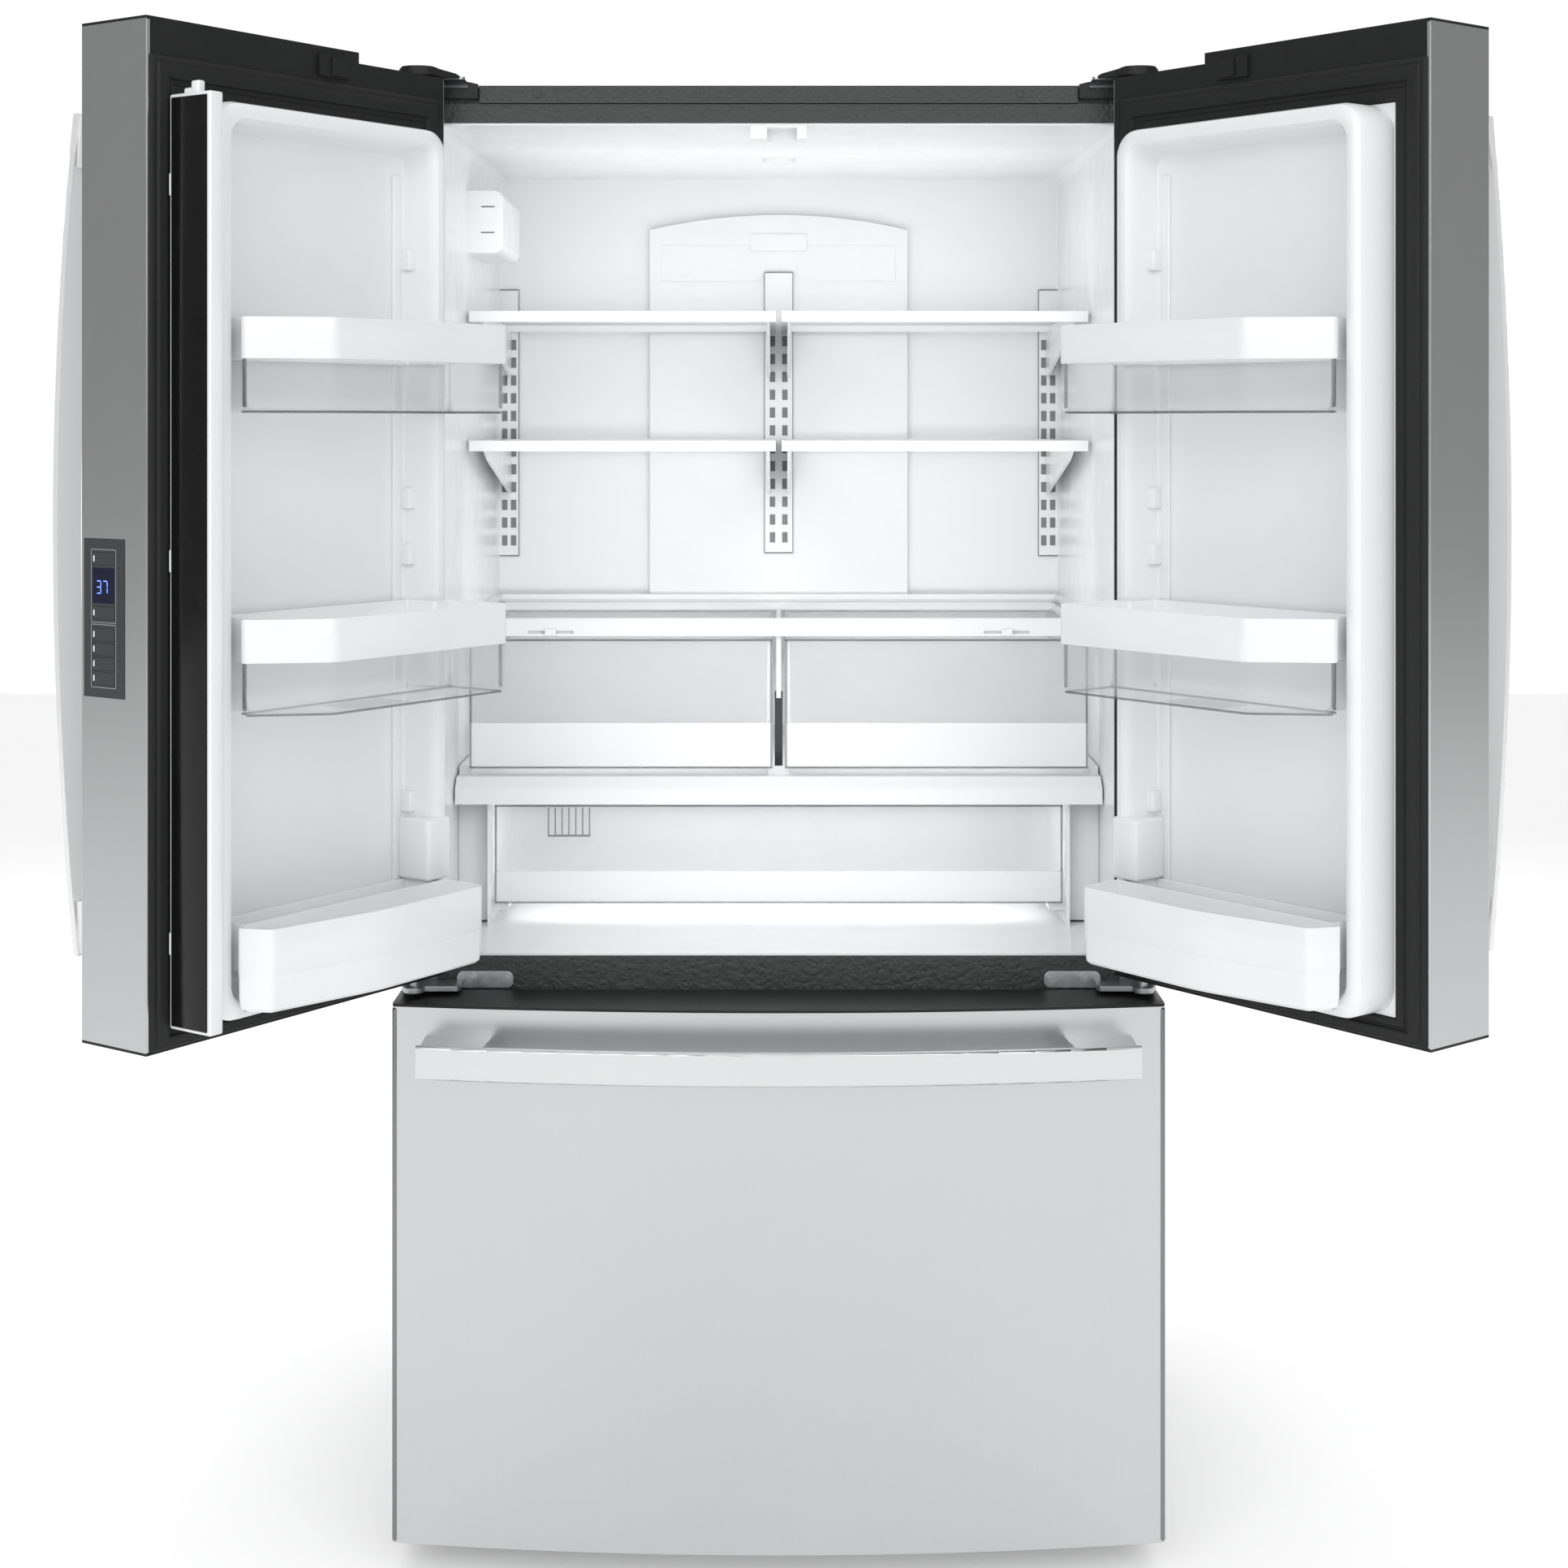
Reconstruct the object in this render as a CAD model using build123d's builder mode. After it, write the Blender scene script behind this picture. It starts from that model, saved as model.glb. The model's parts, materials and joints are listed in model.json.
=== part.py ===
"""A 36-inch french door refrigerator: two doors above, a freezer drawer below.

Millimetres, +Z up, X = 0 on the cabinet's centre plane, Z = 0 on the floor, the doors on the -Y side.
Depths are first measured back from the side edges of the freezer front. Every piece is then moved
by ORIGIN_DEPTH when it is saved, so that the origin stands under the middle of the whole object.
The doors are drawn closed and saved fully open. Drawers are saved closed.
"""

from build123d import *
import os

os.makedirs("parts", exist_ok=True)

# ---------------------------------------------------------------- driving dimensions
ORIGIN_DEPTH = 235.0

HALF_WIDTH = 454.0
CASE_FRONT = 80.0
CASE_BACK = 825.0
CASE_TOP = 1761.0
SHEET = 1.0
WALL = 42.0
INNER_HALF = HALF_WIDTH - WALL

FOOD_FLOOR = 713.0
FOOD_CEILING = 1714.0
FOOD_BACK = 700.0
FREEZER_FLOOR = 108.0
FREEZER_CEILING = 636.0
STEP_HEIGHT = 333.0
STEP_DEPTH = 557.0
LINER = 2.5

DOOR_BACK = 70.0
DOOR_BOTTOM = 697.0
DOOR_TOP = 1777.0
CENTRE_GAP = 2.0
BULGE = 33.0
BOW_RADIUS = (HALF_WIDTH**2 + BULGE**2) / (2 * BULGE)
CAP = 3.0
NOTCH_DROP = 12.5
NOTCH_X = -312.0
SEAL_FACE = 78.6

HINGE_X = -434.0
HINGE_Y = 41.0
LEFT_OPEN = 124.6
RIGHT_OPEN = 128.5
PIN_RADIUS = 5.0
PIN_CLEARANCE = 0.1

DIKE_X = (-400.0, -46.0)
DIKE_Z = (725.0, 1693.0)
DIKE_DEPTH = 60.0
DIKE_RIM = 25.0

FRONT_BOTTOM = 40.0
FRONT_TOP = 672.0
FRONT_CORNERS = (6.0, 6.0)
DOOR_CORNERS = (16.0, 3.0)

SHELF_FRONT = 330.0
SHELF_LEVELS = ((1487.0, 1501.0), (1317.0, 1331.0))

PANEL_Y = (-27.0, 37.0)
PANEL_Z = (1065.0, 1232.0)
KEY_Y = (-13.0, 21.5)
KEY_HEIGHT = 13.2
KEY_CENTRES = (1211.0, 1154.0, 1131.2, 1115.8, 1100.4, 1085.0)
KEY_CLEARANCE = 0.3

MULLION_PIVOT = (-26.0, 84.8)
MULLION_X = (-30.0, 32.0)
MULLION_Y = (80.3, 100.3)
MULLION_Z = (723.0, 1696.0)
KNUCKLES = ((800.0, 824.0), (1198.0, 1222.0), (1590.0, 1614.0))


# ---------------------------------------------------------------- helpers
def block(x, y, z, mode=Mode.ADD):
    """A box between two x, two y and two z values, joined to or cut from the open part."""
    middle = tuple((low + high) / 2 for low, high in (x, y, z))
    with Locations(middle):
        Box(abs(x[1] - x[0]), abs(y[1] - y[0]), abs(z[1] - z[0]), mode=mode)


def across(side, near, far):
    """The x range from near to far on one side, -1 for left and 1 for right."""
    return tuple(sorted((side * near, side * far)))


def plate(x, y, z, radius):
    """An upright plate with rounded corners, from y[0] at the front to y[1] at the back."""
    with BuildPart() as piece:
        with BuildSketch(Plane(origin=(0, y[1], 0), x_dir=(1, 0, 0), z_dir=(0, -1, 0))):
            with Locations(((x[0] + x[1]) / 2, (z[0] + z[1]) / 2)):
                RectangleRounded(x[1] - x[0], z[1] - z[0], radius)
        extrude(amount=y[1] - y[0])
    return piece.part


def ring(outer_x, outer_z, y, width, radius):
    """An upright frame of even width."""
    inner_x = (outer_x[0] + width, outer_x[1] - width)
    inner_z = (outer_z[0] + width, outer_z[1] - width)
    hole = plate(inner_x, (y[0] - 1, y[1] + 1), inner_z, max(radius - width, 2))
    with BuildPart() as piece:
        add(plate(outer_x, y, outer_z, radius))
        add(hole, mode=Mode.SUBTRACT)
    return piece.part


def rod(radius, x, y, z, mode=Mode.ADD):
    """An upright round rod or hole at x, y between two z values."""
    with Locations((x, y, (z[0] + z[1]) / 2)):
        Cylinder(radius, z[1] - z[0], mode=mode)


def bow_plan(left, right, back, inset, corners):
    """A front seen from above: flat back, straight sides, and the bow that all three fronts share.

    corners holds the radii of its left and right front corners."""

    def bow(x):
        return -BULGE + x**2 / (2 * BOW_RADIUS) + inset

    start, end = left + inset, right - inset
    with BuildSketch() as plan:
        with BuildLine():
            ThreePointArc((start, bow(start)), ((start + end) / 2, bow((start + end) / 2)), (end, bow(end)))
            Polyline((end, bow(end)), (end, back), (start, back), (start, bow(start)))
        make_face()
        for index, radius in zip((0, -1), corners):
            front_corners = plan.vertices().filter_by(lambda vertex: vertex.Y < 5).sort_by(Axis.X)
            fillet(front_corners[index], radius - inset)
    return plan.sketch


def tray(outline, z, wall, floor):
    """An open-topped tray over a plan outline."""
    with BuildSketch() as inside:
        add(outline)
        offset(amount=-wall, kind=Kind.INTERSECTION)
    with BuildPart() as piece:
        with BuildSketch(Plane.XY.offset(z[0])):
            add(outline)
        extrude(amount=z[1] - z[0])
        with BuildSketch(Plane.XY.offset(z[0] + floor)):
            add(inside.sketch)
        extrude(amount=z[1] - z[0], mode=Mode.SUBTRACT)
    return piece.part


def rectangle(x, y):
    """A plan rectangle between two x and two y values."""
    with BuildSketch() as outline:
        with Locations(((x[0] + x[1]) / 2, (y[0] + y[1]) / 2)):
            RectangleRounded(x[1] - x[0], y[1] - y[0], 8)
    return outline.sketch


def mirrored(piece):
    """The same piece for the other side."""
    with BuildPart() as other:
        mirror(piece, about=Plane.YZ)
    return other.part


def both_sides(piece):
    """The piece and its mirror image as one group."""
    with BuildPart() as pair:
        add(piece)
        mirror(piece, about=Plane.YZ)
    return pair.part


def opened(piece, side):
    """A closed door's piece, swung open about its hinge axis."""
    angle = -LEFT_OPEN if side < 0 else RIGHT_OPEN
    return piece.rotate(Axis((-side * HINGE_X, HINGE_Y, 0), (0, 0, 1)), angle)


def save(piece, name):
    """Move a finished piece to the object's origin and write it."""
    placed = piece.moved(Location((0, -ORIGIN_DEPTH, 0)))
    placed.label = name
    export_step(placed, f"parts/{name}.step")


# ---------------------------------------------------------------- cabinet shell
with BuildPart() as outer_case:
    for side in (-1, 1):
        block(across(side, HALF_WIDTH - SHEET, HALF_WIDTH), (CASE_FRONT, CASE_BACK - 1), (45, CASE_TOP))
        block(across(side, INNER_HALF, HALF_WIDTH), (CASE_FRONT, CASE_FRONT + SHEET), (45, CASE_TOP))
    block((-HALF_WIDTH, HALF_WIDTH), (CASE_FRONT + 26, CASE_BACK - 1), (CASE_TOP - SHEET, CASE_TOP))
    side_edges = outer_case.edges().filter_by(Axis.Y).group_by(Axis.Z)[-1]
    fillet(side_edges.sort_by(Axis.X)[0], 0.8)
    fillet(outer_case.edges().filter_by(Axis.Y).group_by(Axis.Z)[-1].sort_by(Axis.X)[-1], 0.8)
save(outer_case.part, "outer_case")

with BuildPart() as rear_panel:
    block((-452, 452), (CASE_BACK - 0.8, CASE_BACK), (302, CASE_TOP - 2))
    block((-446, 446), (CASE_BACK - 2, CASE_BACK), (64, 298))
    with Locations(*[(x, CASE_BACK, z) for x in range(-380, -80, 25) for z in (110, 160, 210, 260)]):
        Box(12, 10, 30, mode=Mode.SUBTRACT)
    block((340, 400), (CASE_BACK - 5, CASE_BACK + 1), (90, 140), mode=Mode.SUBTRACT)
    block((200, 290), (CASE_BACK - 5, CASE_BACK + 1), (90, 170), mode=Mode.SUBTRACT)
save(rear_panel.part, "rear_panel")

FOAM_GAP = 0.5
foam_half = INNER_HALF + LINER
with BuildPart() as cabinet_foam:
    for side in (-1, 1):
        block(across(side, foam_half + FOAM_GAP, HALF_WIDTH - SHEET), (CASE_FRONT + 1.5, CASE_BACK - 3), (64, 1759.5))
    block((-foam_half, foam_half), (106.5, CASE_BACK - 3), (FOOD_CEILING + LINER + 0.3, 1759.5))
    block((-foam_half, foam_half), (FOOD_BACK + LINER + 0.3, CASE_BACK - 3), (FREEZER_CEILING + 30, 1716))
    block((-foam_half, foam_half), (152, FOOD_BACK + LINER - 0.2), (FREEZER_CEILING + LINER + 0.3, 710))
    block((-foam_half, foam_half), (FOOD_BACK + LINER + 0.3, CASE_BACK - 3), (STEP_HEIGHT + 1, 665.5))
    block((-foam_half, foam_half), (STEP_DEPTH + LINER + 0.3, CASE_BACK - 3), (295, STEP_HEIGHT - LINER - 0.3))
    block((-foam_half, foam_half), (STEP_DEPTH + LINER + 0.3, STEP_DEPTH + 40), (64, 294.5))
    block((-foam_half, foam_half), (105, STEP_DEPTH + LINER), (64, FREEZER_FLOOR - LINER - 0.3))
save(cabinet_foam.part, "cabinet_foam")

with BuildPart() as fresh_food_liner:
    add(plate((-foam_half, foam_half), (82, FOOD_BACK + LINER), (FOOD_FLOOR - LINER, FOOD_CEILING + LINER), 3))
    food_space = plate((-INNER_HALF, INNER_HALF), (80, FOOD_BACK), (FOOD_FLOOR, FOOD_CEILING), 2)
    add(food_space, mode=Mode.SUBTRACT)
save(fresh_food_liner.part, "fresh_food_liner")


def freezer_profile(grow, front):
    """The freezer's side view, stepped at the bottom rear to leave room for the compressor."""
    low, high = FREEZER_FLOOR - grow, FREEZER_CEILING + grow
    with BuildSketch() as profile:
        with BuildLine():
            Polyline(
                (front, low), (STEP_DEPTH + grow, low), (STEP_DEPTH + grow, STEP_HEIGHT - grow),
                (FOOD_BACK + grow, STEP_HEIGHT - grow), (FOOD_BACK + grow, high), (front, high), close=True,
            )
        make_face()
    return profile.sketch


with BuildPart() as freezer_liner:
    with BuildSketch(Plane.YZ):
        add(freezer_profile(LINER, 82))
    extrude(amount=foam_half, both=True)
    with BuildSketch(Plane.YZ):
        add(freezer_profile(0, 80))
    extrude(amount=INNER_HALF, both=True, mode=Mode.SUBTRACT)
save(freezer_liner.part, "freezer_liner")

with BuildPart() as front_trims:
    block((-INNER_HALF, INNER_HALF), (CASE_FRONT, 106), (FOOD_CEILING + LINER + 0.3, 1739))
    block((-INNER_HALF, INNER_HALF), (CASE_FRONT + 4, 106), (1739, CASE_TOP - 1.5))
    block((-361, 361), (CASE_FRONT - 2, CASE_FRONT + 4), (1740, CASE_TOP))
    for side in (-1, 1):
        with Locations(Location((side * 291, CASE_FRONT - 2.8, 1751), (90, 0, 0))):
            Cylinder(4.5, 2)
    block((-INNER_HALF, INNER_HALF), (CASE_FRONT, 150), (FREEZER_CEILING + LINER + 0.3, FOOD_FLOOR - LINER - 0.3))
save(front_trims.part, "front_trims")

# ---------------------------------------------------------------- base, machinery and services
with BuildPart() as base_frame:
    block((-450, 450), (112, CASE_BACK - 4), (48, 60))
    block((-INNER_HALF + 0.5, INNER_HALF - 0.5), (CASE_FRONT + 0.5, 104), (50, 104))
    for side in (-1, 1):
        block(across(side, 370, 400), (104, 112), (48, 60))
        rod(6, side * 385, 135, (8, 60))
        rod(19, side * 385, 135, (0, 9))
        for face in (374, 408):
            block(across(side, face, face + 3), (738, 782), (12, 48))
            with Locations(Location((side * (face + 1.5), 760, 22), (0, 90, 0))):
                Cylinder(4.05, 8, mode=Mode.SUBTRACT)
save(base_frame.part, "base_frame")

with BuildPart() as rear_rollers:
    with Locations(Location((0, 760, 22), (0, 90, 0))):
        Cylinder(4, 2 * 412)
    for side in (-1, 1):
        with Locations(Location((side * 392.5, 760, 22), (0, 90, 0))):
            Cylinder(22, 24)
    round_edges = rear_rollers.edges().filter_by(GeomType.CIRCLE).filter_by(lambda edge: edge.radius > 20)
    fillet(round_edges, 2)
save(rear_rollers.part, "rear_rollers")

with BuildPart() as toe_grille:
    block((-432, 432), (106, 110), (14, 47))
    with Locations(*[(x, 108, z) for x in range(-300, 301, 60) for z in (22, 30, 38)]):
        Box(46, 8, 4, mode=Mode.SUBTRACT)
    for side in (-1, 1):
        block(across(side, 362, 408), (105, 111), (13, 47.5), mode=Mode.SUBTRACT)
save(toe_grille.part, "toe_grille")

with BuildPart() as compressor:
    rod(78, 210, 715, (80, 225))
    fillet(compressor.edges().group_by(Axis.Z)[-1], 40)
    fillet(compressor.edges().group_by(Axis.Z)[0], 12)
    block((120, 300), (660, 770), (74, 82))
    for x in (135, 285):
        for y in (675, 755):
            rod(9, x, y, (60, 75))
    block((125, 150), (690, 740), (130, 180))
save(compressor.part, "compressor")

FIN_PITCH = 12.0
with BuildPart() as condenser:
    block((-330, -110), (640, 652), (66, 240))
    block((-330, -110), (748, 760), (66, 240))
    for row in range(14):
        block((-330, -110), (650, 750), (70 + row * FIN_PITCH, 72 + row * FIN_PITCH))
    for side_x in (-332, -112):
        block((side_x, side_x + 4), (640, 760), (60, 240))
save(condenser.part, "condenser")


def fan(centre, axis_rotation, radius, depth, blades):
    """A rotor: hub and flat pitched blades on one axis."""
    with BuildPart() as rotor:
        Cylinder(radius * 0.28, depth)
        with PolarLocations(radius * 0.6, blades):
            Box(radius * 0.8, radius * 0.5, 2, rotation=(32, 0, 0))
    return rotor.part.moved(Location(centre, axis_rotation))


save(fan((-60, 700, 150), (0, 90, 0), 70, 30, 5), "condenser_fan")

with BuildPart() as evaporator:
    for row in range(12):
        block((-260, 260), (655, 690), (352 + row * 16, 354 + row * 16))
    for x in (-262, -90, 88, 260):
        block((x, x + 2), (650, 694), (348, 536))
    block((-262, 262), (692, 699), (348, 536))
save(evaporator.part, "evaporator")

save(fan((0, 668, 586), (90, 0, 0), 46, 22, 5), "evaporator_fan")

INLET_RADIUS = 9.5
INLET_LENGTH = 12.0
with BuildPart() as rear_services:
    block((342, 398), (CASE_BACK - 30, CASE_BACK), (92, 138))
    block((356, 384), (CASE_BACK - 8, CASE_BACK + 1), (104, 126), mode=Mode.SUBTRACT)
    valve_front = CASE_BACK - INLET_LENGTH
    block((204, 286), (valve_front - 14, valve_front), (94, 166))
    with Locations(Location((245, CASE_BACK - INLET_LENGTH / 2, 130), (90, 0, 0))):
        Cylinder(INLET_RADIUS, INLET_LENGTH)
save(rear_services.part, "rear_services")

# ---------------------------------------------------------------- hinges
top_pin_z = (1748.0, 1767.0)
with BuildPart() as left_hinges:
    with BuildSketch(Plane.XY.offset(1766)):
        with Locations((HINGE_X, HINGE_Y)):
            Circle(14)
        with Locations((HINGE_X, HINGE_Y + 13)):
            Rectangle(28, 26)
        with Locations((HINGE_X + 22, 110)):
            RectangleRounded(72, 104, 6)
    extrude(amount=3)
    block((-448, -378), (110, 158), (CASE_TOP + 0.1, 1766))
    rod(PIN_RADIUS, HINGE_X, HINGE_Y, top_pin_z)
    with BuildSketch(Plane.XY.offset(677)):
        with Locations((HINGE_X, HINGE_Y)):
            Circle(13)
        with Locations((-415, 60)):
            RectangleRounded(70, 38, 6)
    extrude(amount=6)
    add(plate((-388, -320), (77, CASE_FRONT - 0.05), (673, 693), 8))
    rod(PIN_RADIUS, HINGE_X, HINGE_Y, (682, 712))
    for x in (-371, -328):
        with Locations(Location((x, 75.5, 683.5), (90, 0, 0))):
            Cylinder(7.5, 3)
            Cylinder(4, 7)
save(both_sides(left_hinges.part), "door_hinges")

with BuildPart() as left_cover:
    with BuildSketch(Plane.XY.offset(1744)):
        with BuildLine():
            Polyline((-362, 73), (-362, 168), (-451, 168), (-451, 34))
            ThreePointArc((-451, 34), (-432, 20), (-404, 40))
            Line((-404, 40), (-362, 73))
        make_face()
    extrude(amount=40)
    with BuildSketch(Plane.XZ.offset(-200)):
        with BuildLine():
            Polyline(
                (-451, 1745), (-451, 1773.5), (-446, 1777), (-411, 1777), (-386, 1772),
                (-374, 1765), (-362, 1762), (-362, 1745), close=True,
            )
        make_face()
    extrude(amount=200, mode=Mode.INTERSECT)
    block((-460, -350), (79.9, 200), (1740, CASE_TOP + 0.2), mode=Mode.SUBTRACT)
    block((-460, -350), (0, 72.5), (1740, 1766.6), mode=Mode.SUBTRACT)
    block((-460, -412), (0, 79.95), (1740, 1766.6), mode=Mode.SUBTRACT)
    block((-449, -374.5), (57, 166), (1755, 1770), mode=Mode.SUBTRACT)
    block((-449.5, -419), (HINGE_Y, 60), (1765, 1770), mode=Mode.SUBTRACT)
    rod(15.5, HINGE_X, HINGE_Y, (1765, 1770), mode=Mode.SUBTRACT)
save(both_sides(left_cover.part), "hinge_covers")

# ---------------------------------------------------------------- fittings on the liners
with BuildPart() as liner_fittings:
    with BuildSketch(Plane(origin=(0, FOOD_BACK - 0.2, 0), x_dir=(1, 0, 0), z_dir=(0, -1, 0))):
        with BuildLine():
            Polyline((-188, 1636), (-188, 1090), (188, 1090), (188, 1636))
            ThreePointArc((188, 1636), (0, 1658), (-188, 1636))
        make_face()
    extrude(amount=12)
    block((-171, 171), (680, 690), (1560, 1614), mode=Mode.SUBTRACT)
    block((-41, 41), (686, 691), (1606, 1630))
    guide_x = (-34, 34)
    block(guide_x, (82.5, 124), (1697.5, FOOD_CEILING - 0.2))
    block((-14, 22), (80, 112), (1690, 1711), mode=Mode.SUBTRACT)
    with Locations((0, 443, FOOD_CEILING - 3.7)):
        Cylinder(22, 7)
    block((-406, 406), (626, 630), (STEP_HEIGHT + 1, FREEZER_CEILING - 2))
    for x in range(-330, 331, 60):
        block((x - 20, x + 20), (620, 640), (600, 606), mode=Mode.SUBTRACT)
save(liner_fittings.part, "liner_fittings")

with BuildPart() as filter_housing:
    block((-INNER_HALF + 0.2, -363), (343, 543), (1578, 1660))
    fillet(filter_housing.edges().filter_by(Axis.Y).sort_by(Axis.X)[-2:], 12)
    for z in (1604, 1638):
        block((-392, -374), (340, 346), (z, z + 2), mode=Mode.SUBTRACT)
save(filter_housing.part, "filter_housing")


def ladder(x, z, slot_x, depth):
    """A strip of rectangular slots in pairs, for the shelf arms."""
    with BuildPart() as strip:
        block(x, (depth, depth + 4), z)
        rows = int((z[1] - z[0] - 50) // 26)
        for slot in slot_x:
            for row in range(rows):
                low = z[0] + 14 + row * 26
                block((slot - 4, slot + 4), (depth - 1, depth + 5), (low, low + 15), mode=Mode.SUBTRACT)
    return strip.part


with BuildPart() as shelf_ladders:
    add(ladder((-20, 20), (1166, 1573), (-9, 9), 683.5))
    for side in (-1, 1):
        add(ladder(across(side, 381, 409), (1161, 1548), (side * 388, side * 401), 695.5))
save(shelf_ladders.part, "shelf_ladders")


def shelf_arm(x, top, depth):
    """A cantilever arm that tapers forward under a shelf."""
    with BuildPart() as arm:
        with BuildSketch(Plane.YZ.offset(x)):
            with BuildLine():
                Polyline((depth, top), (depth, top - 66), (depth - 26, top - 62), (430, top - 14),
                         (390, top), close=True)
            make_face()
        extrude(amount=2, both=True)
    return arm.part


PANE_EDGE = 12.0
with BuildPart() as shelf_frames:
    for low, high in SHELF_LEVELS:
        for side in (-1, 1):
            block(across(side, 4, 406), (SHELF_FRONT, 681), (low, high))
            block(
                across(side, 4 + PANE_EDGE, 406 - PANE_EDGE), (SHELF_FRONT + 20, 681 - PANE_EDGE),
                (low - 1, high + 1), mode=Mode.SUBTRACT,
            )
            block(
                across(side, 4 + PANE_EDGE / 2, 406 - PANE_EDGE / 2), (SHELF_FRONT + 14, 681 - PANE_EDGE / 2),
                (high - 5, high + 1), mode=Mode.SUBTRACT,
            )
            add(shelf_arm(side * 14, low, 683))
            add(shelf_arm(side * 393, low, 695))
save(shelf_frames.part, "shelf_frames")

CRISPER_COVER_Z = (1083.0, 1105.0)
with BuildPart() as shelf_glass:
    for low, high in SHELF_LEVELS:
        for side in (-1, 1):
            pane_x = across(side, 4.2 + PANE_EDGE / 2, 405.8 - PANE_EDGE / 2)
            block(pane_x, (SHELF_FRONT + 14.2, 680.8 - PANE_EDGE / 2), (high - 5, high - 0.5))
    block((-401, 401), (251, 675), (1094, 1098.5))
save(shelf_glass.part, "shelf_glass")

SLIDER_X = (-290.0, 290.0)
SLIDER_TRAVEL = 20.0
with BuildPart() as drawer_covers:
    block((-411, 411), (235, 687), CRISPER_COVER_Z)
    block((-396, 396), (256, 670), (1080, 1110), mode=Mode.SUBTRACT)
    block((-402, 402), (250, 676), (1094, 1110), mode=Mode.SUBTRACT)
    for x in SLIDER_X:
        reach = 9 + SLIDER_TRAVEL
        block((x - reach, x + reach), (234, 240), (1086, 1090), mode=Mode.SUBTRACT)
    block((-3, 3), (246, 687), (1003, 1084))
    with BuildSketch(Plane.YZ.offset(-409)):
        with BuildLine():
            Polyline((215, 872), (215, 892), (232, 905), (690, 905), (690, 898), (226, 898), (226, 872),
                     close=True)
        make_face()
    extrude(amount=818)
    for side in (-1, 1):
        block(across(side, 395, 409), (256, 690), (904, 914.5))
        block(across(side, 366, 370), (232, 690), (FOOD_FLOOR + 0.2, 899))
        block(across(side, 346, 367), (256, 690), (731, 742.5))
    block((-14, 14), (256, 690), (904, 914.5))
save(drawer_covers.part, "drawer_covers")

for name, x in (("humidity_slider_left", SLIDER_X[0]), ("humidity_slider_right", SLIDER_X[1])):
    with BuildPart() as slider:
        block((x - 7, x + 7), (230, 234.8), (1083.5, 1092))
        block((x - 6, x + 6), (234.8, 239), (1086.5, 1089.5))
        fillet(slider.edges().filter_by(Axis.X).sort_by(Axis.Y)[:2], 1.5)
    save(slider.part, name)

CRISPER_X = (8.0, 394.0)
CRISPER_Y = (240.0, 686.0)
CRISPER_Z = (915.0, 1079.0)
for name, side in (("crisper_left", -1), ("crisper_right", 1)):
    with BuildPart() as crisper:
        add(tray(rectangle(across(side, *CRISPER_X), CRISPER_Y), CRISPER_Z, 3, 3))
    save(crisper.part, name)

PANTRY_X = (-344.5, 344.5)
PANTRY_Z = (743.0, 868.0)
with BuildPart() as pantry_drawer:
    add(tray(rectangle(PANTRY_X, CRISPER_Y), PANTRY_Z, 3, 3))
    block((-362, 362), (240, 243), (743, 868))
save(pantry_drawer.part, "pantry_drawer")

with BuildPart() as fixed_rails:
    for side in (-1, 1):
        for low, high in ((238, 284), (468, 502)):
            block(across(side, 398, INNER_HALF - 0.2), (100, 545), (low, high))
            block(across(side, 397, 403), (99, 546), (low + 6, high - 6), mode=Mode.SUBTRACT)
save(fixed_rails.part, "fixed_rails")

# ---------------------------------------------------------------- freezer drawer
front_outer = bow_plan(-HALF_WIDTH, HALF_WIDTH, DOOR_BACK, 0, FRONT_CORNERS)
front_inner = bow_plan(-HALF_WIDTH, HALF_WIDTH, DOOR_BACK + 5, SHEET, FRONT_CORNERS)
front_core = bow_plan(-HALF_WIDTH, HALF_WIDTH, DOOR_BACK - 1.2, SHEET, FRONT_CORNERS)

with BuildPart() as freezer_skin:
    with BuildSketch(Plane.XY.offset(FRONT_BOTTOM)):
        add(front_outer)
        add(front_inner, mode=Mode.SUBTRACT)
    extrude(amount=FRONT_TOP - CAP - FRONT_BOTTOM)
    with BuildSketch(Plane.XY.offset(FRONT_BOTTOM)):
        add(front_core)
    extrude(amount=SHEET)
save(freezer_skin.part, "freezer_skin")

with BuildPart() as freezer_foam:
    with BuildSketch(Plane.XY.offset(FRONT_BOTTOM + SHEET + 0.1)):
        add(front_core)
    extrude(amount=FRONT_TOP - CAP - FRONT_BOTTOM - SHEET - 0.2)
save(freezer_foam.part, "freezer_foam")

SEAL_OUT_X = 440.0
with BuildPart() as freezer_caps:
    with BuildSketch(Plane.XY.offset(FRONT_TOP - CAP)):
        add(front_outer)
    extrude(amount=CAP)
    add(ring((-452.8, 452.8), (FRONT_BOTTOM + 1.1, FRONT_TOP - CAP), (DOOR_BACK - 1, DOOR_BACK), 58, 2))
save(freezer_caps.part, "freezer_caps")

with BuildPart() as freezer_gasket:
    add(ring((-SEAL_OUT_X, SEAL_OUT_X), (60, 668), (DOOR_BACK, SEAL_FACE), 36, 4))
save(freezer_gasket.part, "freezer_gasket")

with BuildPart() as freezer_inner_panel:
    add(plate((-403.5, 403.5), (DOOR_BACK, 76), (96.5, 631.5), 6))
    add(ring((-368, 368), (128, 616), (76, 95), 10, 20))
save(freezer_inner_panel.part, "freezer_inner_panel")

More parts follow.
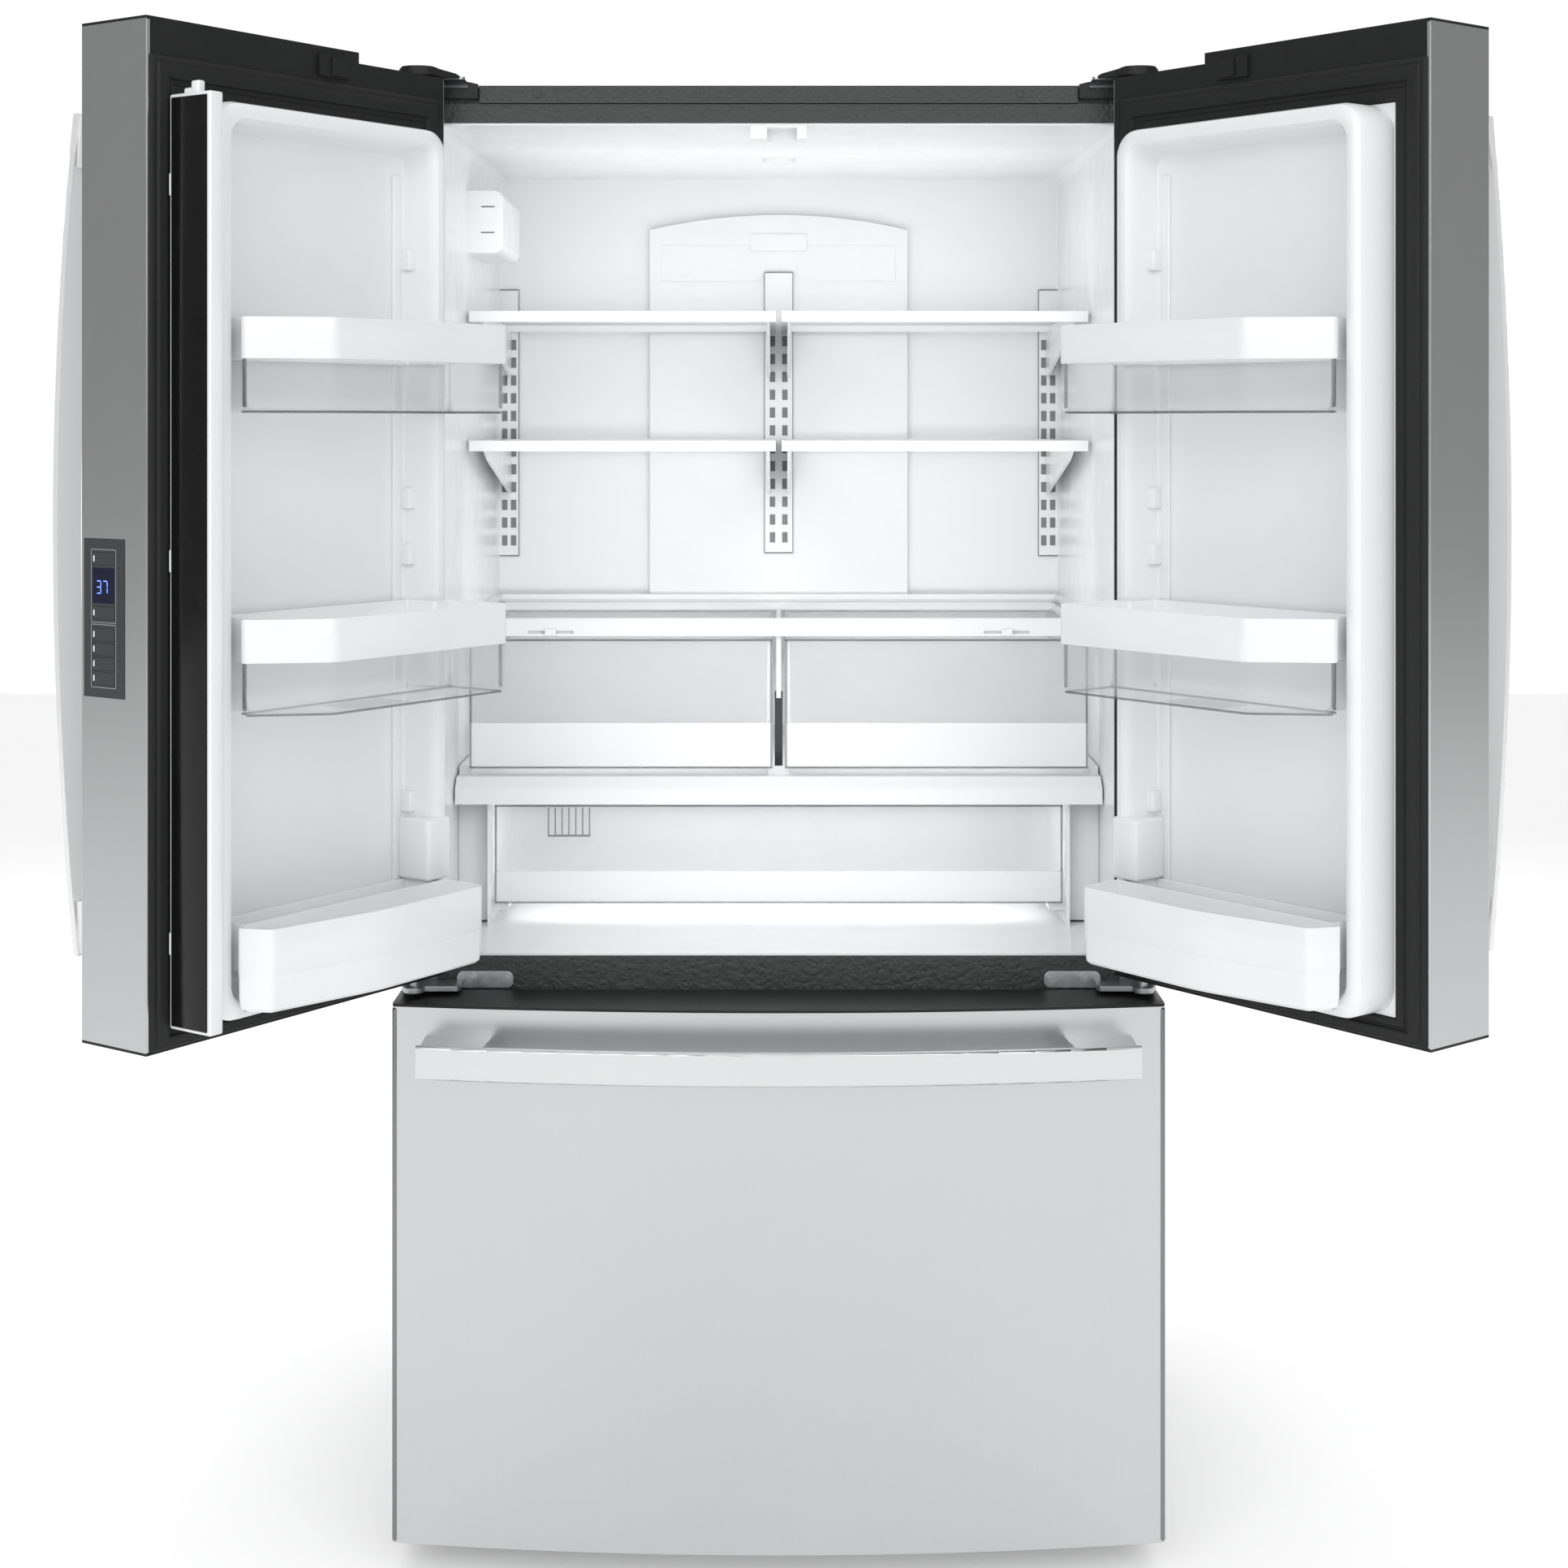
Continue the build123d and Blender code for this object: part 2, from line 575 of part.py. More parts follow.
BAR_HALF = 417.0
with BuildPart() as freezer_handle:
    with BuildSketch(Plane.XY.offset(600)):
        with BuildLine():
            ThreePointArc((-BAR_HALF, -64), (0, -97), (BAR_HALF, -64))
            Line((BAR_HALF, -64), (BAR_HALF, -56))
            ThreePointArc((BAR_HALF, -56), (0, -89), (-BAR_HALF, -56))
            Line((-BAR_HALF, -56), (-BAR_HALF, -64))
        make_face()
    extrude(amount=38)
    fillet(freezer_handle.edges().filter_by(GeomType.CIRCLE).group_by(Axis.Y)[0], 2.5)
    for side in (-1, 1):
        with BuildSketch(Plane.XY.offset(603)):
            Polygon(*[(side * x, y) for x, y in
                      ((414, -60), (414, -5), (350, -13.6), (336, -14.8), (342, -62))], align=None)
        extrude(amount=32)
    with BuildSketch(Plane.XY.offset(500)):
        add(front_outer)
    extrude(amount=200, mode=Mode.SUBTRACT)
save(freezer_handle.part, "freezer_handle")

BASKET_HALF = 372.0
with BuildPart() as freezer_basket:
    add(tray(rectangle((-BASKET_HALF, BASKET_HALF), (98, 545)), (118, 380), 3, 3))
save(freezer_basket.part, "freezer_basket")

with BuildPart() as drawer_rails:
    for side in (-1, 1):
        block(across(side, 376, 401), (76.1, 540), (246, 276))
        block(across(side, BASKET_HALF, 378), (110, 530), (250, 262))
save(drawer_rails.part, "drawer_rails")

with BuildPart() as upper_basket:
    add(tray(rectangle((-384, 384), (100, 545)), (430, 590), 3, 3))
    for side in (-1, 1):
        block(across(side, 382, 401), (115, 535), (476, 494))
    for x in range(-330, 331, 60):
        block((x - 22, x + 22), (90, 104), (500, 570), mode=Mode.SUBTRACT)
save(upper_basket.part, "upper_basket")

# ---------------------------------------------------------------- doors, drawn closed on the left
door_outer = bow_plan(-HALF_WIDTH, -CENTRE_GAP, DOOR_BACK, 0, DOOR_CORNERS)
door_inner = bow_plan(-HALF_WIDTH, -CENTRE_GAP, DOOR_BACK + 5, SHEET, DOOR_CORNERS)
door_core = bow_plan(-HALF_WIDTH, -CENTRE_GAP, DOOR_BACK - 1.2, SHEET, DOOR_CORNERS)
NOTCH_TOP = DOOR_TOP - NOTCH_DROP
PIN_POCKET = 12.0


def cut_notch(level):
    """Remove the corner over the hinge, above a level."""
    block((-HALF_WIDTH - 5, NOTCH_X + CAP), (-60, 120), (level, DOOR_TOP + 20), mode=Mode.SUBTRACT)


with BuildPart() as door_skin:
    with BuildSketch(Plane.XY.offset(DOOR_BOTTOM + CAP)):
        add(door_outer)
        add(door_inner, mode=Mode.SUBTRACT)
    extrude(amount=DOOR_TOP - DOOR_BOTTOM - 2 * CAP)
    cut_notch(NOTCH_TOP - CAP)

with BuildPart() as left_skin:
    add(door_skin.part)
    block((-10, 0), (PANEL_Y[0] - 0.2, PANEL_Y[1] + 0.2), (PANEL_Z[0] - 0.2, PANEL_Z[1] + 0.2),
          mode=Mode.SUBTRACT)

with BuildPart() as door_foam:
    with BuildSketch(Plane.XY.offset(DOOR_BOTTOM + CAP + 0.1)):
        add(door_core)
    extrude(amount=DOOR_TOP - DOOR_BOTTOM - 2 * CAP - 0.2)
    cut_notch(NOTCH_TOP - CAP - 0.1)
    rod(PIN_POCKET + 0.2, HINGE_X, HINGE_Y, (690, 716.2), mode=Mode.SUBTRACT)
    rod(PIN_POCKET + 0.2, HINGE_X, HINGE_Y, (1743.8, 1790), mode=Mode.SUBTRACT)

PANEL_BACK = -10.0
with BuildPart() as left_foam:
    add(door_foam.part)
    block((PANEL_BACK - 0.2, 0), (PANEL_Y[0] - 0.2, PANEL_Y[1] + 0.2), (PANEL_Z[0] - 0.2, PANEL_Z[1] + 0.2),
          mode=Mode.SUBTRACT)

with BuildPart() as door_caps:
    with BuildSketch(Plane.XY.offset(DOOR_BOTTOM)):
        add(door_outer)
    extrude(amount=CAP)
    with BuildSketch(Plane.XY.offset(NOTCH_TOP - CAP)):
        add(door_outer)
    extrude(amount=DOOR_TOP - NOTCH_TOP + CAP)
    block((-460, NOTCH_X), (-60, 120), (NOTCH_TOP, DOOR_TOP + 20), mode=Mode.SUBTRACT)
    block((NOTCH_X + CAP, 10), (-60, 120), (NOTCH_TOP - CAP - 1, DOOR_TOP - CAP), mode=Mode.SUBTRACT)
    add(ring((-452.8, -3.2), (700, 1774), (DOOR_BACK - 1, DOOR_BACK), 46, 2))
    block((-460, NOTCH_X), (60, 80), (NOTCH_TOP, DOOR_TOP + 20), mode=Mode.SUBTRACT)
    block((-292, -246), (DOOR_BACK - 0.5, DOOR_BACK + 4), (1743, 1768))
    block((-288, -264), (DOOR_BACK + 3, DOOR_BACK + 6), (1745, 1766))
    rod(PIN_POCKET, HINGE_X, HINGE_Y, (699, 716))
    rod(PIN_RADIUS + PIN_CLEARANCE, HINGE_X, HINGE_Y, (690, 713), mode=Mode.SUBTRACT)
    rod(PIN_POCKET, HINGE_X, HINGE_Y, (1744, NOTCH_TOP - 1))
    rod(PIN_RADIUS + PIN_CLEARANCE, HINGE_X, HINGE_Y, (1747, 1770), mode=Mode.SUBTRACT)
    with BuildSketch(Plane.XY.offset(692)):
        with Locations((-345, 20)):
            SlotOverall(150, 46)
    extrude(amount=5)

with BuildPart() as door_gasket:
    add(ring((-SEAL_OUT_X, -6), (701, 1737), (DOOR_BACK, SEAL_FACE), 39.8, 4))
    block((DIKE_X[0] - 0.3, DIKE_X[1] + 0.3), (60, 90), (DIKE_Z[0] - 0.3, DIKE_Z[1] + 0.3), mode=Mode.SUBTRACT)

LUG_LEVELS = (1530, 1255, 1190, 905)
dike_y = (DOOR_BACK, DOOR_BACK + DIKE_DEPTH)
pocket_x = (DIKE_X[0] + DIKE_RIM, DIKE_X[1] - DIKE_RIM)
pocket_z = (DIKE_Z[0] + DIKE_RIM, DIKE_Z[1] - DIKE_RIM)
with BuildPart() as door_liner:
    add(plate(DIKE_X, dike_y, DIKE_Z, 30))
    add(plate(pocket_x, (DOOR_BACK + 12, dike_y[1] + 5), pocket_z, 22), mode=Mode.SUBTRACT)
    rim = door_liner.faces().sort_by(Axis.Y)[-1]
    fillet(rim.outer_wire().edges(), 9)
    for level in LUG_LEVELS:
        for x in pocket_x:
            block((x - 7, x + 7), (DOOR_BACK + 12, DOOR_BACK + 30), (level, level + 24))

pivot_x, pivot_y = MULLION_PIVOT
with BuildPart() as left_liner:
    add(door_liner.part)
    for low, high in KNUCKLES:
        block((DIKE_X[1] - 6, pivot_x + 4), (81, 88.6), (low, high))
        rod(2.5, pivot_x, pivot_y, (low - 10, high + 10))


def upper_bin_front():
    """An upper bin in front of the liner's rim: cut off at the free side."""
    with BuildSketch() as outline:
        Polygon((BIN_HINGE_SIDE, DIKE_FRONT + 1), (BIN_FREE_SIDE, DIKE_FRONT + 1), (-57, 152), (-125, 220),
                (BIN_HINGE_SIDE, 222), align=None)
    return outline.sketch


def lower_bin_front():
    """The lower bin in front of the liner's rim: shallower, with a gently bowed front."""
    with BuildSketch() as outline:
        with BuildLine():
            ThreePointArc((-77, 176), (-215, 198), (BIN_HINGE_SIDE + 11, 196))
            Polyline((BIN_HINGE_SIDE + 11, 196), (BIN_HINGE_SIDE + 7, DIKE_FRONT + 1),
                     (BIN_FREE_SIDE, DIKE_FRONT + 1), (-62, 142), (-77, 176))
        make_face()
    return outline.sketch


def with_back(front):
    """A bin's front outline joined to the part that sits inside the liner's rim."""
    with BuildSketch() as outline:
        add(front)
        with Locations((-225, 111)):
            Rectangle(294, 46)
    return outline.sketch


BIN_HINGE_SIDE = -397.0
BIN_FREE_SIDE = -76.0
DIKE_FRONT = DOOR_BACK + DIKE_DEPTH
UPPER_BINS = ((1364.0, 1465.0), (1048.0, 1150.0))
LOWER_BIN = (740.0, 828.0)
LOWER_BIN_STEP = 34.0
with BuildPart() as door_bins:
    for level in UPPER_BINS:
        add(tray(with_back(upper_bin_front()), level, 3, 3))
    deep_level = (LOWER_BIN[0] + LOWER_BIN_STEP, LOWER_BIN[1])
    add(tray(lower_bin_front(), LOWER_BIN, 3, 3))
    add(tray(with_back(lower_bin_front()), deep_level, 3, 3))
    with BuildSketch() as front_inside:
        add(lower_bin_front())
        offset(amount=-3, kind=Kind.INTERSECTION)
    with BuildSketch() as deep_inside:
        add(with_back(lower_bin_front()))
        offset(amount=-3, kind=Kind.INTERSECTION)
    for inside, floor in ((front_inside, LOWER_BIN[0] + 3), (deep_inside, deep_level[0] + 3)):
        with BuildSketch(Plane.XY.offset(floor)):
            add(inside.sketch)
        extrude(amount=LOWER_BIN[1] - floor + 1, mode=Mode.SUBTRACT)

HANDLE_X = (-66.0, -34.0)
HANDLE_Z = (777.0, 1689.0)
with BuildPart() as door_handle:
    with BuildSketch(Plane.YZ.offset(HANDLE_X[0])):
        with BuildLine():
            low, high = HANDLE_Z
            middle = (low + high) / 2
            ThreePointArc((-86, low), (-120, middle), (-86, high))
            Line((-86, high), (-77, high))
            ThreePointArc((-77, high), (-111, middle), (-77, low))
            Line((-77, low), (-86, low))
        make_face()
    extrude(amount=HANDLE_X[1] - HANDLE_X[0])
    fillet(door_handle.edges().filter_by(GeomType.CIRCLE).group_by(Axis.Y)[0], 2.5)
    post_x = (HANDLE_X[0] + 3, HANDLE_X[1] - 3)
    for end, inward in ((low, 1), (high, -1)):
        with BuildSketch(Plane.YZ.offset(post_x[0])):
            Polygon((-80, end + inward * 2), (-20, end + inward * 2), (-20, end + inward * 68),
                    (-82, end + inward * 58), align=None)
        extrude(amount=post_x[1] - post_x[0])
    with BuildSketch(Plane.XY.offset(600)):
        add(door_outer)
    extrude(amount=1300, mode=Mode.SUBTRACT)

for part, name in (
    (door_skin, "right_skin"), (door_foam, "right_foam"), (door_caps, "right_caps"),
    (door_gasket, "right_gasket"), (door_liner, "right_liner"), (door_bins, "right_bins"),
    (door_handle, "right_handle"),
):
    save(opened(mirrored(part.part), 1), name)

for part, name in (
    (left_skin, "left_skin"), (left_foam, "left_foam"), (door_caps, "left_caps"),
    (door_gasket, "left_gasket"), (left_liner, "left_liner"), (door_bins, "left_bins"),
    (door_handle, "left_handle"),
):
    save(opened(part.part, -1), name)

# ---------------------------------------------------------------- control panel and keys
PANEL_FACE = -1.4
KEY_FACE = -1.1
KEY_BACK = -5.2
with BuildPart() as control_panel:
    block((PANEL_BACK, PANEL_FACE), PANEL_Y, PANEL_Z)
    for centre in KEY_CENTRES:
        block(
            (KEY_BACK - 1.0, 0), (KEY_Y[0] - KEY_CLEARANCE, KEY_Y[1] + KEY_CLEARANCE),
            (centre - KEY_HEIGHT / 2 - KEY_CLEARANCE, centre + KEY_HEIGHT / 2 + KEY_CLEARANCE),
            mode=Mode.SUBTRACT,
        )
save(opened(control_panel.part, -1), "control_panel")

for number, centre in enumerate(KEY_CENTRES, start=1):
    with BuildPart() as key:
        block((KEY_BACK, KEY_FACE), KEY_Y, (centre - KEY_HEIGHT / 2, centre + KEY_HEIGHT / 2))
        fillet(key.edges().filter_by(Axis.X), 1.5)
    save(opened(key.part, -1), f"key_{number}")

# ---------------------------------------------------------------- mullion, folded back on the left door
GUIDE_PIN_X = (-2.0, 10.0)
with BuildPart() as mullion:
    block(MULLION_X, MULLION_Y, MULLION_Z)
    corner_edges = mullion.edges().filter_by(Axis.Z)
    fillet(corner_edges, 2)
    for low, high in KNUCKLES:
        block((MULLION_X[0] - 1, -13), (70, 110), (low - 1, high + 1), mode=Mode.SUBTRACT)
        rod(2.55, pivot_x, pivot_y, (low - 11, high + 11), mode=Mode.SUBTRACT)
    block(GUIDE_PIN_X, (86, 96), (MULLION_Z[1] - 1, 1709))
folded = mullion.part.rotate(Axis((pivot_x, pivot_y, 0), (0, 0, 1)), 90)
save(opened(folded, -1), "mullion")
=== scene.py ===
"""Looks for the french door refrigerator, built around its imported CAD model.

Door pieces are drawn closed, on the left, in millimetres from the freezer front's side edges, and then
swung to where the frame holds the doors. Everything else is placed from the same depths.
"""

import json
import math

import bmesh
import bpy
from mathutils import Matrix, Vector


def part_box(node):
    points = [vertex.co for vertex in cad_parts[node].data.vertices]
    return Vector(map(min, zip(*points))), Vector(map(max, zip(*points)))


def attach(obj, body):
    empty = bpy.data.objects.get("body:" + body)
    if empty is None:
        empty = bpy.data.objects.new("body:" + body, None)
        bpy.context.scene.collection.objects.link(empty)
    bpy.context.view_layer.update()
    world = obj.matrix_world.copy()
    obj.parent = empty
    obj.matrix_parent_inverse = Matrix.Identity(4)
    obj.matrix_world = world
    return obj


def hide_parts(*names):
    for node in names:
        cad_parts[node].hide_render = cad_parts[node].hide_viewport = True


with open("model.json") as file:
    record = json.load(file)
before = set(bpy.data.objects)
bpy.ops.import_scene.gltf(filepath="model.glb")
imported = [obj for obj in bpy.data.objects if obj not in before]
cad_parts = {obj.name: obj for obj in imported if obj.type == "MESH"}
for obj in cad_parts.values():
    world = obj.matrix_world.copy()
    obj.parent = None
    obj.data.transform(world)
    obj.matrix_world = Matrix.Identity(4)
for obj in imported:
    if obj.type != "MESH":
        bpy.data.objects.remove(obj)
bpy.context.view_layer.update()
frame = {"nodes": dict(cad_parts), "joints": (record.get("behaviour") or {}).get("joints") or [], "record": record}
nodes = frame["nodes"]
joints = {joint["name"]: joint for joint in frame["joints"]}

MM = 0.001
DEPTH_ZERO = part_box("freezer_caps")[1].y - 70 * MM


# ---------------------------------------------------------------- camera, stage and light
def area_light(name, place, target, size, power):
    light = bpy.data.lights.new(name, "AREA")
    light.shape = "RECTANGLE"
    light.size, light.size_y = size
    light.energy = power
    lamp = bpy.data.objects.new(name, light)
    lamp.location = place
    lamp.rotation_euler = (Vector(target) - Vector(place)).to_track_quat("-Z", "Y").to_euler()
    bpy.context.scene.collection.objects.link(lamp)
    return lamp


CAMERA_HEIGHT = 1.3526
CAMERA_DISTANCE = 2.821
FIELD_SHARE = 1.5325
SENSOR_WIDTH = 36.0
SIDE_SHIFT = 0.0034
FRAME_SHIFT = -0.2295

camera_data = bpy.data.cameras.new("camera")
camera_data.sensor_width = SENSOR_WIDTH
camera_data.lens = SENSOR_WIDTH * FIELD_SHARE
camera_data.shift_x = SIDE_SHIFT
camera_data.shift_y = FRAME_SHIFT
camera = bpy.data.objects.new("camera", camera_data)
camera.location = (0, DEPTH_ZERO - CAMERA_DISTANCE, CAMERA_HEIGHT)
camera.rotation_euler = (math.pi / 2, 0, 0)
bpy.context.scene.collection.objects.link(camera)
bpy.context.scene.camera = camera
bpy.context.scene.view_settings.view_transform = "Standard"


def studio(front_strength, side_strength):
    """A white room whose left and right walls are dimmer, with a clean white backdrop."""
    world = bpy.data.worlds.new("studio")
    world.use_nodes = True
    tree = world.node_tree
    room = tree.nodes["Background"]
    place = tree.nodes.new("ShaderNodeTexCoord")
    parts = tree.nodes.new("ShaderNodeSeparateXYZ")
    sideways = tree.nodes.new("ShaderNodeMath")
    sideways.operation = "ABSOLUTE"
    fade = tree.nodes.new("ShaderNodeMapRange")
    fade.interpolation_type = "SMOOTHSTEP"
    fade.inputs["From Min"].default_value = 0.45
    fade.inputs["From Max"].default_value = 0.95
    fade.inputs["To Min"].default_value = front_strength
    fade.inputs["To Max"].default_value = side_strength
    tree.links.new(place.outputs["Generated"], parts.inputs["Vector"])
    tree.links.new(parts.outputs["X"], sideways.inputs[0])
    tree.links.new(sideways.outputs[0], fade.inputs["Value"])
    tree.links.new(fade.outputs["Result"], room.inputs["Strength"])
    room.inputs["Color"].default_value = (1, 1, 1, 1)
    backdrop = tree.nodes.new("ShaderNodeBackground")
    backdrop.inputs["Color"].default_value = (1, 1, 1, 1)
    ray = tree.nodes.new("ShaderNodeLightPath")
    choice = tree.nodes.new("ShaderNodeMixShader")
    tree.links.new(ray.outputs["Is Camera Ray"], choice.inputs["Fac"])
    tree.links.new(room.outputs["Background"], choice.inputs[1])
    tree.links.new(backdrop.outputs["Background"], choice.inputs[2])
    tree.links.new(choice.outputs["Shader"], tree.nodes["World Output"].inputs["Surface"])
    return world


FRONT_STRENGTH, SIDE_STRENGTH = 0.88, 0.30
bpy.context.scene.world = studio(FRONT_STRENGTH, SIDE_STRENGTH)

area_light("key", (-1.8, -4.2, 3.2), (0, 0, 1.0), (2.6, 2.0), 36)
area_light("fill", (1.8, -4.2, 3.0), (0, 0, 1.0), (2.6, 2.0), 30)
area_light("back_fill", (0, 3.6, 2.8), (0, 0, 1.0), (3, 2), 50)

BACKWARD, UPWARD = (0, 1, 0), (0, 0, 1)
LAMP_PLACES = {
    "shelf_lamp": ((0, 0.305, 1.41), BACKWARD, (0.78, 0.54), 0.38),
    "ceiling_lamp": ((0, 0.42, 1.52), UPWARD, (0.7, 0.4), 0.6),
    "crisper_lamp": ((0, 0.25, 1.0), BACKWARD, (0.76, 0.14), 1.4),
    "pantry_lamp": ((0, 0.25, 0.81), BACKWARD, (0.66, 0.09), 1.8),
    "mouth_lamp": ((0, -0.04, 1.15), BACKWARD, (0.62, 0.9), 0.65),
}
for name, ((x, y, z), direction, size, power) in LAMP_PLACES.items():
    place = Vector((x, y + DEPTH_ZERO, z))
    lamp = area_light(name, place, place + Vector(direction), size, power)
    lamp.visible_camera = False
    lamp.visible_glossy = False


# ---------------------------------------------------------------- mesh helpers
def new_object(name, mesh):
    piece = bpy.data.objects.new(name, mesh)
    bpy.context.scene.collection.objects.link(piece)
    return piece


def mesh_of(build):
    """Make a mesh from a bmesh: smooth, with sharp edges left where it turns hard."""
    bmesh.ops.remove_doubles(build, verts=build.verts, dist=1e-6)
    bmesh.ops.recalc_face_normals(build, faces=build.faces)
    mesh = bpy.data.meshes.new("mesh")
    build.to_mesh(mesh)
    build.free()
    mesh.shade_smooth()
    mesh.set_sharp_from_angle(angle=math.radians(32))
    return mesh


def loft(build, loops, cap_start=True, cap_end=True):
    """Join closed loops of points, one after another, with caps on the first and the last."""
    rows = [[build.verts.new(point) for point in loop] for loop in loops]
    for low, high in zip(rows, rows[1:]):
        count = len(low)
        for index in range(count):
            following = (index + 1) % count
            build.faces.new((low[index], low[following], high[following], high[index]))
    if cap_start:
        build.faces.new(rows[0])
    if cap_end:
        build.faces.new(rows[-1])


def rounded_polygon(corners, steps=6):
    """A closed outline of (x, y, radius) corners, each rounded with an arc."""
    outline = []
    count = len(corners)
    for index, (x, y, radius) in enumerate(corners):
        here = Vector((x, y))
        back = (Vector(corners[index - 1][:2]) - here).normalized()
        ahead = (Vector(corners[(index + 1) % count][:2]) - here).normalized()
        half = back.angle(ahead) / 2
        if radius <= 0 or half > math.radians(89):
            outline.extend([here.copy()] * (steps + 1))
            continue
        centre = here + (back + ahead).normalized() * radius / math.sin(half)
        start = here + back * radius / math.tan(half) - centre
        end = here + ahead * radius / math.tan(half) - centre
        for step in range(steps + 1):
            turned = start.lerp(end, step / steps).normalized() * radius
            outline.append(centre + turned)
    return outline


def rounded_rectangle(x, y, radius, steps=6):
    corners = [(x[0], y[0], radius), (x[1], y[0], radius), (x[1], y[1], radius), (x[0], y[1], radius)]
    return rounded_polygon(corners, steps)


def inset(outline, distance):
    """The outline moved inwards; it runs anticlockwise."""
    moved = []
    count = len(outline)
    for index, here in enumerate(outline):
        back, ahead = index - 1, (index + 1) % count
        while (outline[back] - here).length < 1e-6:
            back -= 1
        while (outline[ahead] - here).length < 1e-6:
            ahead = (ahead + 1) % count
        before = (here - outline[back]).normalized()
        after = (outline[ahead] - here).normalized()
        normal = Vector((-before.y - after.y, before.x + after.x)).normalized()
        stretch = max(normal.dot(Vector((-before.y, before.x))), 0.5)
        moved.append(here + normal * distance / stretch)
    return moved


def level(outline, z):
    """A plan outline as points at one height."""
    return [Vector((point.x, point.y, z)) for point in outline]


def upright(outline, y):
    """A front-view outline as points at one depth."""
    return [Vector((point.x, y, point.y)) for point in outline]


def soft_block(build, x, y, z, edge=1.5, steps=2):
    """A block with rounded edges, added to a bmesh."""
    made = bmesh.ops.create_cube(build, size=1)
    size = Vector((x[1] - x[0], y[1] - y[0], z[1] - z[0]))
    middle = Vector((x[0] + x[1], y[0] + y[1], z[0] + z[1])) / 2
    for vertex in made["verts"]:
        vertex.co = Vector((vertex.co.x * size.x, vertex.co.y * size.y, vertex.co.z * size.z)) + middle
    edges = list(dict.fromkeys(line for vertex in made["verts"] for line in vertex.link_edges))
    bmesh.ops.bevel(build, geom=edges, offset=edge, segments=steps, profile=0.5, affect="EDGES")


def tray(build, outline, z, wall=2.5, foot=6.0, foot_height=10.0, floor=3.0):
    """An open moulded tray over a plan outline, with a rounded foot."""
    low, high = z
    loft(build, [
        level(inset(outline, foot), low),
        level(inset(outline, foot * 0.35), low + foot_height * 0.25),
        level(inset(outline, foot * 0.1), low + foot_height),
        level(outline, high - 1),
        level(inset(outline, 0.4), high),
        level(inset(outline, wall - 0.4), high),
        level(inset(outline, wall), high - 1),
        level(inset(outline, wall + foot * 0.1), low + foot_height + floor),
        level(inset(outline, wall + foot * 0.5), low + floor + 2),
        level(inset(outline, wall + foot), low + floor),
    ])


def band(build, outline, z, thick=3.0, edge=1.5):
    """A closed wall that follows a plan outline, with rounded top and bottom edges."""
    low, high = z
    rows = [
        level(inset(outline, edge * 0.5), low), level(outline, low + edge), level(outline, high - edge),
        level(inset(outline, edge * 0.5), high), level(inset(outline, thick - edge * 0.5), high),
        level(inset(outline, thick), high - edge), level(inset(outline, thick), low + edge),
        level(inset(outline, thick - edge * 0.5), low), level(inset(outline, edge * 0.5), low),
    ]
    loft(build, rows, cap_start=False, cap_end=False)


# ---------------------------------------------------------------- placing pieces
def to_row(mesh):
    mesh.transform(Matrix.Translation((0, DEPTH_ZERO, 0)) @ Matrix.Scale(MM, 4))


def swing(side):
    """The turn that carries a closed door to where the frame holds it, in the row frame."""
    joint = joints[f"door_{side}_hinge"]
    hinge = Vector(joint["pos_m"])
    turn = Matrix.Rotation(math.radians(-joint["range_deg"][0]), 4, Vector(joint["axis"]))
    return Matrix.Translation(hinge) @ turn @ Matrix.Translation(-hinge)


def finish_piece(name, build, body, material, hides=()):
    """Turn a bmesh in cabinet millimetres into a piece that rides on a body."""
    mesh = mesh_of(build)
    to_row(mesh)
    piece = new_object(name, mesh)
    mesh.materials.append(material)
    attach(piece, body)
    if hides:
        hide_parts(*hides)
    return piece


def finish_door_piece(name, build, side, material, hides=(), body=None):
    """The same for a piece drawn on the closed left door, mirrored for the right one."""
    if side == "right":
        bmesh.ops.transform(build, matrix=Matrix.Scale(-1, 4, (1, 0, 0)), verts=build.verts)
        bmesh.ops.reverse_faces(build, faces=build.faces)
    mesh = mesh_of(build)
    to_row(mesh)
    mesh.transform(swing(side))
    piece = new_object(name, mesh)
    mesh.materials.append(material)
    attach(piece, body or f"{side}_door")
    if hides:
        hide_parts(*hides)
    return piece


# ---------------------------------------------------------------- materials
def material_tree(name):
    material = bpy.data.materials.new(name)
    material.use_nodes = True
    return material, material.node_tree, material.node_tree.nodes["Principled BSDF"]


def noise_at(tree, scale, stretch=(1, 1, 1), detail=4.0):
    """A noise in object space, stretched along the axes with small factors."""
    place = tree.nodes.new("ShaderNodeTexCoord")
    mapping = tree.nodes.new("ShaderNodeMapping")
    mapping.inputs["Scale"].default_value = stretch
    noise = tree.nodes.new("ShaderNodeTexNoise")
    noise.inputs["Scale"].default_value = scale
    noise.inputs["Detail"].default_value = detail
    tree.links.new(place.outputs["Object"], mapping.inputs["Vector"])
    tree.links.new(mapping.outputs["Vector"], noise.inputs["Vector"])
    return noise


def spread(tree, source, low, high):
    """Map a noise's middle range to two values."""
    ramp = tree.nodes.new("ShaderNodeMapRange")
    ramp.inputs["From Min"].default_value = 0.3
    ramp.inputs["From Max"].default_value = 0.7
    ramp.inputs["To Min"].default_value = low
    ramp.inputs["To Max"].default_value = high
    tree.links.new(source, ramp.inputs["Value"])
    return ramp.outputs["Result"]


